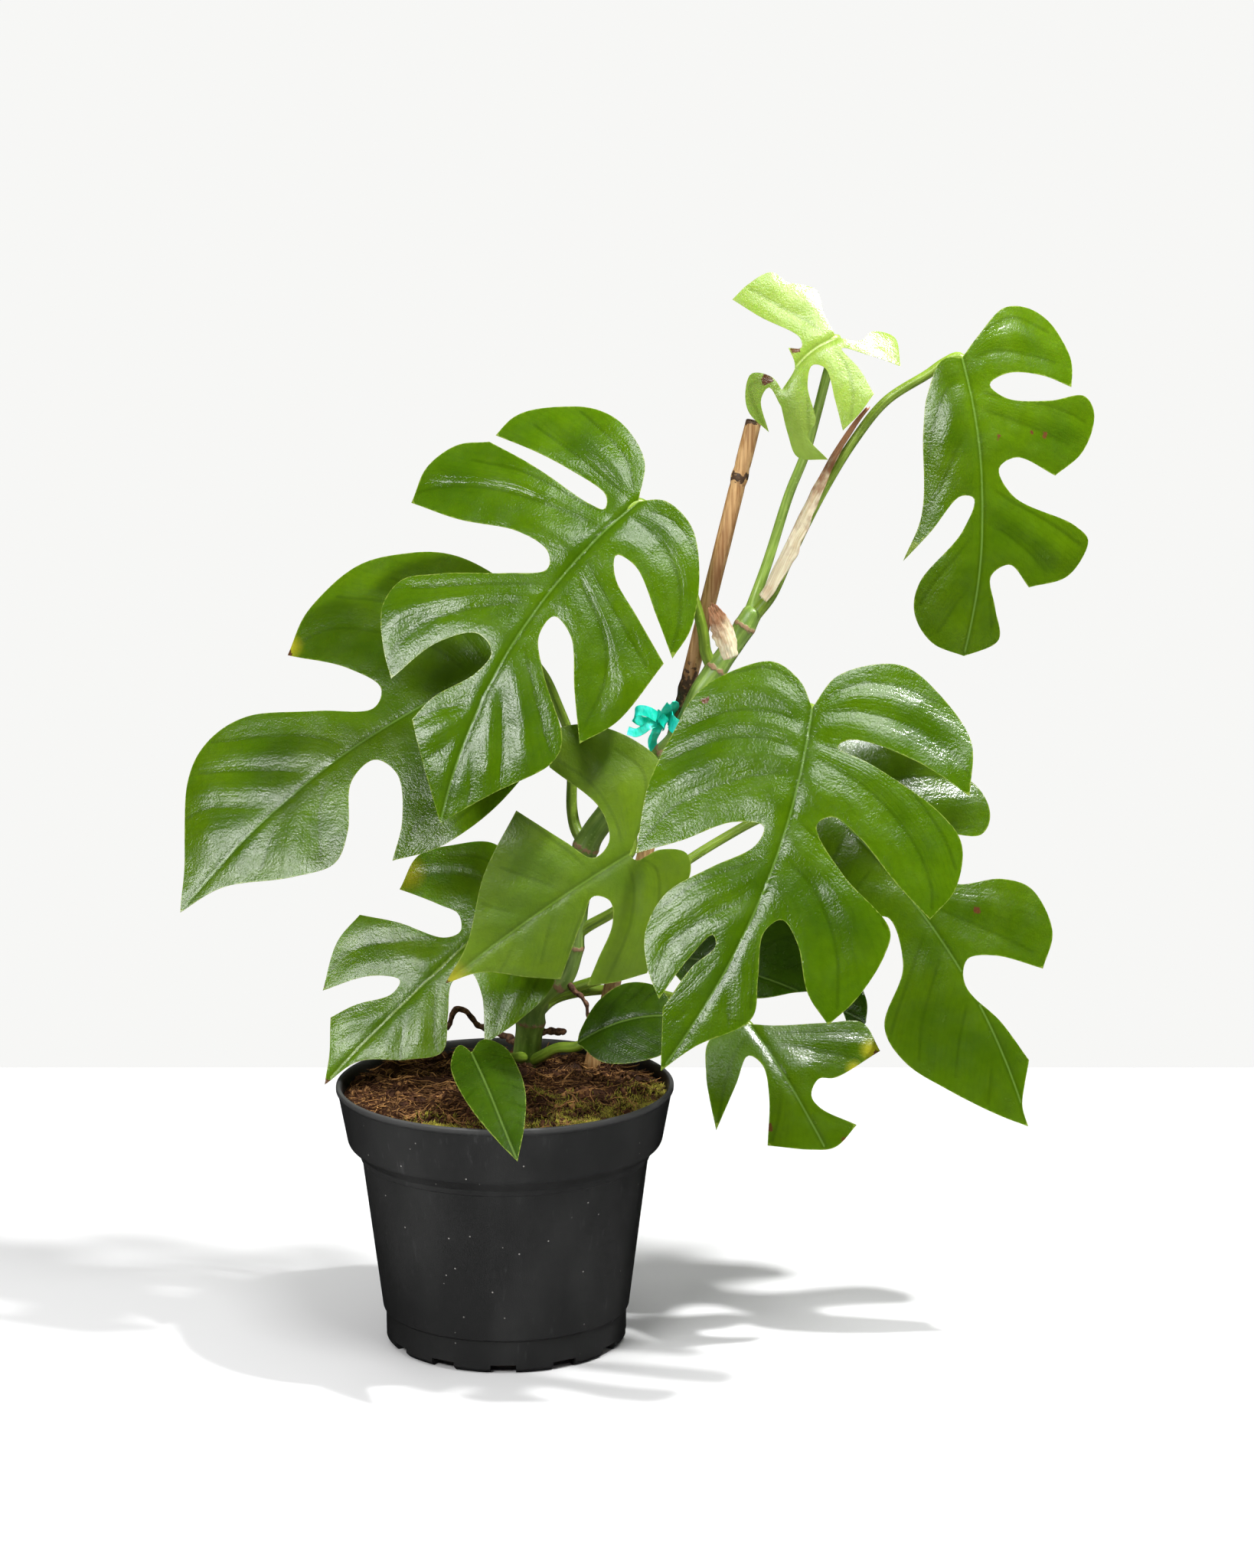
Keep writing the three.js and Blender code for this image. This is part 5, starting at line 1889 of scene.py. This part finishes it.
LEAVES = [
    LeafPlan(
        name="upper_centre", base=(60, 26, 266), point=(-27, -28, 132), face=(0.05, -0.82, 0.56),
        arch=6, sway=13, drop=(4, 4),
        outline=[
            [(0, 0), (-18, 8), (-28, 27), (-27, 45), (-15, 64), (-7, 70), (5, 72)],
            [(5, 72), (3, 37), (5, 14), (11, 11), (12, 18), (10, 44), (9, 73)],
            [(9, 73), (17, 85), (34, 91), (51, 88)],
            [
                (51, 88), (48, 65), (40, 40), (41, 22), (48, 18), (59, 33), (74, 59), (84, 72), (98, 73),
                (115, 62), (125, 52),
            ],
            [(125, 52), (102, 43), (89, 29), (93, 19), (104, 20), (123, 31), (136, 34)],
            [(136, 34), (147, 23), (169, 0)],
            [
                (169, 0), (146, -14), (122, -29), (111, -28), (90, -6), (76, 5), (65, 4), (69, -7),
                (89, -21), (108, -35),
            ],
            [(108, -35), (91, -44), (58, -48)],
            [(58, -48), (46, -27), (36, -10), (27, -5), (27, -15), (42, -35), (54, -50)],
            [(54, -50), (38, -50), (16, -41), (-2, -26), (-6, -10), (0, 0)],
        ],
        stalk=[(94, 25, 189), (90, 25, 198), (89, 25, 206), (86, 26, 218), (80, 29, 236), (71, 31, 252)],
        right=[
            [(2, 0), (-14, 15), (-20, 30), (-24, 45)], [(2, 0), (-2, 20), (-6, 45), (-8, 60)],
            [(12, 5), (13, 20), (14, 50), (20, 75)],
            [(20, 8), (20, 20), (23, 40), (28, 60), (38, 80), (45, 88)],
            [(52, 11), (60, 25), (72, 45), (85, 66)],
            [(64, 13), (70, 25), (85, 42), (95, 52), (110, 58), (120, 57)],
            [(100, 12), (115, 16), (128, 28), (134, 33)], [(125, 9), (138, 14), (148, 20)],
        ],
        left=[
            [(3, 0), (0, -18), (8, -35), (22, -45)], [(8, 2), (10, -15), (20, -32), (38, -44), (52, -48)],
            [(34, 8), (45, -10), (55, -28), (63, -42)],
            [(40, 9), (48, -2), (60, -18), (78, -30), (100, -33)],
            [(78, 12), (88, 4), (100, -8), (112, -20), (118, -27)],
            [(100, 12), (112, 2), (128, -8), (140, -14)], [(122, 10), (135, 4), (148, -4), (155, -6)],
        ],
        skin=Skin.GLOSSY, quilt=1.05,
    ),
    LeafPlan(
        name="far_left", base=(9, 36, 194), point=(-145, -4, 85), face=(-0.1, -0.82, 0.56),
        arch=5, sway=12, drop=(3, 3),
        outline=[
            [(0, 0), (-13, 16), (-14, 36), (-7, 58), (6, 74), (27, 86), (42, 88), (67, 81), (84, 70)],
            [
                (84, 70), (66, 45), (60, 28), (68, 22), (89, 37), (115, 56), (135, 59), (152, 51),
                (180, 14), (192, 0),
            ],
            [
                (192, 0), (171, -3), (143, -20), (124, -27), (111, -19), (96, -1), (82, 1), (78, -11),
                (89, -30), (103, -42),
            ],
            [(103, -42), (81, -50), (46, -49), (18, -38), (4, -16), (0, 0)],
        ],
        stalk=[
            (37, 28, 108), (32, 32, 115), (30, 35, 124), (30, 38, 140), (29, 40, 156), (24, 41, 170),
            (17, 41, 185),
        ],
        right=[
            [(10, 4), (5, 25), (12, 50), (25, 72)], [(16, 5), (16, 28), (30, 58), (50, 80)],
            [(24, 6), (30, 30), (45, 52), (62, 68), (80, 72)],
            [(88, 12), (95, 25), (108, 38), (125, 50), (135, 57)],
            [(105, 12), (118, 24), (135, 38), (148, 48)], [(130, 11), (142, 22), (155, 32), (165, 34)],
        ],
        left=[
            [(10, 3), (12, -15), (25, -32), (50, -42), (75, -45)],
            [(30, 7), (42, -8), (62, -25), (90, -38)], [(98, 12), (108, 5), (120, -10), (128, -22)],
            [(125, 11), (138, 2), (152, -8)],
        ],
        skin=Skin.SATIN, quilt=0.5,
        blemishes=[Blemish(84, 71, 3, Spot.SCORCH), Blemish(82, 73, 6, Spot.YELLOW)],
    ),
    LeafPlan(
        name="new_top", base=(147, 22, 339), point=(123, 14, 317), face=(-0.15, -0.97, 0.25),
        arch=3, sway=3, drop=(2, 2),
        outline=[
            [(0, 0), (-4, 12), (-9, 22), (-6, 28), (-2, 33), (0, 41), (11, 44), (21, 44)],
            [(21, 44), (18, 30), (12, 11), (15, 7), (19, 11)], [(19, 11), (23, 3), (34, 0)],
            [(34, 0), (33, 7), (38, 15), (45, 12), (50, 5), (50, -8)],
            [(50, -8), (43, 4), (37, 5), (39, -5)], [(39, -5), (45, -15), (49, -25), (41, -36)],
            [(41, -36), (40, -22), (34, -21), (25, -7), (17, -2), (14, -7), (21, -20), (28, -32)],
            [(28, -32), (18, -32), (7, -30)], [(7, -30), (3, -17), (2, -5), (-5, -16), (-12, -28)],
            [(-12, -28), (-20, -16), (-14, -8), (-7, -8), (0, 0)],
        ],
        stalk=[
            (107, 28, 208), (112, 36, 220), (118, 38, 237), (127, 36, 267), (134, 32, 286),
            (139, 29, 305), (143, 26, 322),
        ],
        right=[
            [(2, 1), (4, 14), (8, 28), (12, 42)], [(12, 2), (17, 9)],
            [(30, 1), (36, 8), (42, 12), (47, 3), (50, -6)],
        ],
        left=[
            [(-2, 0), (-8, -8), (-14, -18), (-13, -27)], [(4, 0), (6, -12), (12, -22), (22, -31)],
            [(20, 1), (28, -10), (38, -22), (42, -34)],
        ],
        skin=Skin.LIME, quilt=1.0, slot="new_leaf",
        blemishes=[Blemish(35, 8, 3.2, Spot.SCORCH), Blemish(18, 8, 2.2, Spot.SCORCH)],
    ),
    LeafPlan(
        name="upper_right", base=(202, 15, 331), point=(203, -5, 202), face=(0.3, -0.9, 0.2),
        arch=8, sway=-6, drop=(7, 42),
        outline=[
            [(0, 0), (-9, -8), (-22, -23), (-22, -37), (-14, -49), (1, -55), (13, -53)],
            [
                (13, -53), (8, -38), (7, -21), (12, -12), (18, -20), (19, -41), (17, -60), (25, -65),
                (41, -58), (52, -42),
            ],
            [(52, -42), (44, -23), (49, -14), (61, -21), (74, -52), (81, -60), (96, -50), (101, -29)],
            [(101, -29), (91, -19), (96, -10), (110, -13), (124, -16), (131, 0)],
            [(131, 0), (125, 14), (112, 21), (98, 19), (76, 3), (62, -2), (61, 4), (77, 16), (89, 25)],
            [(89, 25), (69, 19), (33, 18), (16, 16), (1, 9), (0, 0)],
        ],
        stalk=[
            (112, 29, 214), (119, 28, 223), (126, 27, 238), (141, 25, 269), (155, 23, 293),
            (169, 21, 311), (187, 19, 323), (194, 18, 328),
        ],
        right=[
            [(8, -1), (14, 8), (30, 14), (48, 17)], [(28, -3), (38, 4), (52, 10), (68, 18), (82, 24)],
            [(72, -6), (85, 4), (98, 14), (108, 19)], [(95, -5), (108, 5), (120, 12)],
        ],
        left=[
            [(0, 0), (-12, -12), (-18, -28), (-12, -45)], [(2, -1), (-3, -14), (-2, -30), (2, -46)],
            [(14, -3), (18, -20), (22, -45), (28, -60)], [(22, -4), (26, -18), (32, -35), (38, -50)],
            [(55, -6), (62, -18), (72, -38), (82, -55)], [(72, -6), (78, -18), (85, -28), (94, -38)],
            [(92, -5), (102, -9), (118, -12)],
        ],
        skin=Skin.SATIN, quilt=0.9,
        blemishes=[
            Blemish(35, -14, 1.3, Spot.SCORCH), Blemish(34, -38, 1.6, Spot.SCORCH),
            Blemish(33, -31, 1.2, Spot.SCORCH),
        ],
    ),
    LeafPlan(
        name="front_right", base=(135, -38, 185), point=(69, -96, 38), face=(0, -0.82, 0.57),
        arch=6, sway=-12, drop=(4, 4),
        outline=[
            [(0, 0), (-9, 9), (-13, 23), (-5, 36), (12, 49), (31, 52), (56, 53), (88, 46)],
            [
                (88, 46), (76, 30), (60, 12), (57, -1), (66, -1), (82, 13), (100, 27), (117, 29),
                (132, 22), (143, 12),
            ],
            [(143, 12), (123, 7), (109, 1), (113, -2), (125, 4), (146, 9)],
            [(146, 9), (160, 4), (171, 0)],
            [
                (171, 0), (156, -10), (136, -28), (119, -24), (100, -19), (92, -24), (99, -34),
                (117, -46), (126, -59),
            ],
            [
                (126, -59), (111, -66), (89, -70), (78, -68), (64, -41), (48, -22), (42, -27), (46, -41),
                (59, -64), (67, -82),
            ],
            [
                (67, -82), (50, -87), (31, -82), (22, -68), (14, -33), (12, -17), (7, -21), (5, -50),
                (10, -77),
            ],
            [(10, -77), (-14, -68), (-28, -48), (-33, -28), (-18, -5), (0, 0)],
        ],
        stalk=[(75, 22, 155), (79, 12, 158), (87, -2, 161), (104, -20, 170), (124, -31, 181)],
        right=[
            [(0, 0), (-8, 12), (-10, 24), (-2, 38)], [(8, -2), (8, 15), (14, 32), (28, 48)],
            [(20, -6), (20, 12), (28, 32), (45, 50)], [(30, -8), (34, 5), (45, 22), (62, 38), (80, 45)],
            [(62, -12), (75, 0), (88, 14), (105, 26)],
            [(80, -12), (90, -5), (105, 8), (122, 18), (135, 18)],
            [(104, -12), (118, -4), (134, 3), (145, 8)], [(125, -9), (138, -3), (150, 3)],
        ],
        left=[
            [(0, 0), (-16, -12), (-24, -30), (-24, -48)],
            [(2, -1), (-6, -18), (-9, -40), (-6, -62), (2, -74)],
            [(14, -5), (13, -25), (17, -50), (30, -72), (42, -84)],
            [(20, -7), (22, -25), (28, -45), (38, -62), (52, -76), (62, -81)],
            [(48, -11), (55, -30), (65, -52), (78, -66)],
            [(66, -13), (72, -28), (82, -40), (98, -52), (118, -60)],
            [(95, -13), (105, -17), (120, -22), (132, -26)], [(118, -10), (128, -14), (142, -20)],
        ],
        skin=Skin.GLOSSY, quilt=0.8,
        blemishes=[Blemish(14, 45, 2.2, Spot.SCORCH)],
    ),
    LeafPlan(
        name="lower_right", base=(140, 35, 130), point=(236, -8, -13), face=(0.1, -0.82, 0.55),
        arch=6, sway=-11, drop=(3, 3),
        outline=[
            [
                (0, 0), (-16, -16), (-12, -36), (12, -56), (36, -68), (50, -65), (55, -56), (45, -40),
                (39, -22), (43, -9), (51, -23), (62, -27), (69, -34), (77, -52), (88, -62), (109, -59),
                (121, -45),
            ],
            [(121, -45), (104, -28), (99, -16), (108, -9), (131, -14), (152, -16)],
            [(152, -16), (167, -3), (177, 0)],
            [
                (177, 0), (166, 9), (145, 23), (122, 34), (104, 33), (86, 11), (64, 4), (60, 14),
                (66, 34), (54, 44),
            ],
            [(54, 44), (30, 38), (4, 26), (-9, 10), (0, 0)],
        ],
        stalk=[
            (28, 28, 61), (34, 27, 69), (48, 25, 78), (60, 25, 86), (83, 33, 101), (99, 38, 110),
            (114, 40, 118), (128, 39, 124),
        ],
        right=[
            [(20, -5), (30, 12), (45, 30)], [(40, -8), (46, 10), (58, 25)],
            [(75, -11), (86, 4), (98, 20), (108, 32)], [(88, -11), (98, 2), (112, 18), (125, 28)],
            [(112, -9), (125, 5), (140, 18)], [(135, -7), (148, 3), (158, 11)],
        ],
        left=[
            [(10, -2), (10, -30), (25, -60)], [(30, -6), (38, -30), (50, -55)],
            [(52, -10), (62, -25), (75, -48)], [(64, -11), (78, -22), (95, -34), (112, -45)],
            [(112, -10), (125, -13), (140, -17)], [(135, -7), (150, -12)],
        ],
        skin=Skin.SATIN, quilt=0.75,
        blemishes=[Blemish(83, -33, 2.2, Spot.SCORCH)],
    ),
    LeafPlan(
        name="low_right", base=(110, 5, 32), point=(144, -22, -19), face=(0, -0.7, 0.7),
        arch=4, sway=0, drop=(2, 2),
        outline=[
            [(0, 0), (5, -7), (17, -30), (25, -45), (40, -45)],
            [(40, -45), (41, -20), (38, -13), (43, -6), (50, -7), (64, -18)],
            [(64, -18), (68, -4), (64, 6), (53, 23)],
            [(53, 23), (34, 11), (20, 6), (13, 9), (22, 21), (36, 40)],
            [(36, 40), (22, 35), (11, 30), (-2, 20), (0, 0)],
        ],
        stalk=[(12, 33, 27), (22, 41, 34), (44, 45, 37), (66, 36, 38), (90, 18, 36), (104, 9, 33)],
        right=[
            [(4, 0), (8, 12), (18, 24), (34, 38)], [(28, 0), (36, 6), (44, 12), (52, 20)],
            [(48, 0), (58, 5)],
        ],
        left=[
            [(6, 0), (14, -16), (26, -38)], [(12, 0), (18, -10), (28, -22), (38, -34)],
            [(40, 0), (50, -5), (60, -14)],
        ],
        skin=Skin.SATIN, quilt=0.7,
        blemishes=[
            Blemish(38, -42, 5, Spot.YELLOW), Blemish(42, -30, 3.5, Spot.YELLOW),
            Blemish(41, -43, 2.5, Spot.SCORCH), Blemish(67, -10, 2, Spot.SCORCH),
            Blemish(46, 19, 2.5, Spot.SCORCH),
        ],
    ),
    LeafPlan(
        name="inner_right", base=(69, 40, 56), point=(163, 28, 26), face=(0, -0.7, 0.7),
        arch=3, sway=-4, drop=(3, 3),
        outline=[
            [(0, 0), (22, 14), (50, 7), (71, -5), (84, -6), (92, 4), (97, 9), (100, 0)],
            [(100, 0), (97, -11), (82, -28), (60, -41), (34, -38), (9, -20), (0, 0)],
        ],
        stalk=[(13, 29, 34), (22, 28, 39), (37, 26, 45), (50, 27, 49), (60, 34, 53)],
        right=[
            [(10, -1), (22, 8), (32, 10)], [(30, -3), (42, 4), (54, 5)],
        ],
        left=[
            [(12, -1), (20, -18), (34, -32)], [(28, -3), (42, -18), (60, -34)],
            [(48, -4), (62, -16), (78, -24)], [(68, -3), (80, -12), (92, -16)],
        ],
        # The darker skin paints the shade that falls on this leaf.
        skin=Skin.PAINTED_SHADE, quilt=0.7,
    ),
    LeafPlan(
        name="centre", base=(56, 0, 111), point=(-26, -13, 55), face=(-0.05, -0.98, 0.12),
        arch=3, sway=2, drop=(3, 3),
        outline=[
            [(0, 0), (-1, -4), (-12, -6), (-21, -14), (-18, -22), (4, -34), (24, -48)],
            [(24, -48), (38, -43), (49, -37)],
            [(49, -37), (38, -30), (24, -21), (19, -12), (24, -6), (34, -12), (57, -28)],
            [(57, -28), (68, -19), (84, -5), (100, 0)], [(100, 0), (82, 9), (58, 30), (30, 45)],
            [(30, 45), (20, 21), (14, 8), (4, 10), (-1, 24), (7, 52)],
            [(7, 52), (0, 64), (-17, 59), (-31, 40), (-34, 23), (-10, 6), (0, 0)],
        ],
        stalk=[(48, 26, 126), (51, 18, 129), (55, 11, 126), (57, 6, 118)],
        right=[
            [(0, 0), (-16, 12), (-26, 26), (-22, 42)], [(2, 0), (-4, 18), (-4, 36), (2, 52)],
            [(18, 1), (20, 12), (25, 28), (30, 42)], [(32, 2), (40, 14), (50, 28)],
            [(50, 2), (60, 12), (66, 20)], [(68, 1), (78, 7)],
        ],
        left=[
            [(0, 0), (-6, -12), (4, -28), (20, -42)], [(2, 0), (6, -12), (18, -26), (40, -40)],
            [(20, 1), (28, -6), (42, -16), (52, -24)], [(38, 2), (50, -8), (60, -17)],
            [(58, 2), (70, -6), (78, -10)],
        ],
        skin=Skin.SOFT, quilt=0.7,
        blemishes=[Blemish(99, 0, 9, Spot.YELLOW), Blemish(102, 0, 4, Spot.SCORCH)],
    ),
    LeafPlan(
        name="lower_left", base=(4, 30, 82), point=(-81, 0, 5), face=(-0.1, -0.85, 0.5),
        arch=4, sway=1, drop=(3, 3),
        outline=[
            [(0, 0), (-12, 8), (-12, 28), (1, 40), (16, 48), (33, 42)],
            [(33, 42), (25, 23), (22, 14), (27, 7), (34, 10), (44, 30), (54, 46)],
            [(54, 46), (70, 44), (90, 32)], [(90, 32), (70, 21), (62, 10), (69, 8), (84, 16), (96, 20)],
            [(96, 20), (108, 8), (119, 0)],
            [
                (119, 0), (101, -4), (84, -20), (71, -28), (58, -18), (46, -8), (37, -10), (40, -21),
                (55, -39),
            ],
            [(55, -39), (36, -42), (15, -41), (-4, -26), (-10, -8), (0, 0)],
        ],
        stalk=[(22, 29, 46), (14, 36, 60), (8, 38, 74)],
        right=[
            [(0, 0), (-6, 10), (-4, 26), (6, 38)], [(3, 0), (2, 14), (10, 30), (24, 42)],
            [(28, 1), (34, 10), (52, 26), (72, 38), (82, 36)], [(58, 1), (68, 6), (82, 12), (92, 18)],
            [(85, 1), (94, 6), (102, 9)],
        ],
        left=[
            [(0, 0), (0, -14), (14, -32), (34, -40)], [(5, 0), (12, -12), (28, -26), (48, -38)],
            [(45, 1), (56, -8), (68, -20), (72, -26)], [(62, 1), (76, -8), (86, -16)],
            [(82, 1), (94, -4), (102, -7)],
        ],
        skin=Skin.FRESH, quilt=0.9, slot="new_leaf",
        blemishes=[
            Blemish(26, 46, 8, Spot.YELLOW), Blemish(24, 50, 3.5, Spot.SCORCH),
            Blemish(119, 0, 4, Spot.SCORCH), Blemish(91, 34, 3, Spot.SCORCH),
        ],
    ),
    LeafPlan(
        name="front_rim", base=(-14, -28, 28), point=(8, -98, -1), face=(0, -0.45, 0.9),
        arch=5, sway=1, drop=(6, 6),
        outline=[
            [(0, 0), (-9, 3), (6, 11), (26, 13), (45, 11), (67, 5), (79, 0)],
            [(79, 0), (61, -8), (41, -14), (21, -16), (0, -15), (-10, -8), (0, 0)],
        ],
        stalk=[(9, 36, 8), (5, 22, 11), (-1, 4, 16), (-8, -14, 22)],
        # The darker skin paints the shade that falls on this leaf.
        skin=Skin.PAINTED_SHADE, quilt=0.5,
    ),
    LeafPlan(
        name="soil_right", base=(32, 5, 23), point=(78, 0, 37), face=(0, -0.7, 0.7),
        arch=3, sway=-3, drop=(3, 3),
        outline=[
            [(0, 0), (3, -6), (13, -17), (28, -22), (42, -16), (48, 0)],
            [(48, 0), (42, 16), (29, 19), (11, 14), (0, 0)],
        ],
        stalk=[(9, 36, 5), (15, 27, 10), (24, 14, 18)],
        # The darker skin paints the shade that falls on this leaf.
        skin=Skin.PAINTED_SHADE, quilt=0.6,
    ),
]


if __name__ == "__main__":
    logging.basicConfig(level=logging.INFO, format="%(message)s")
    main()
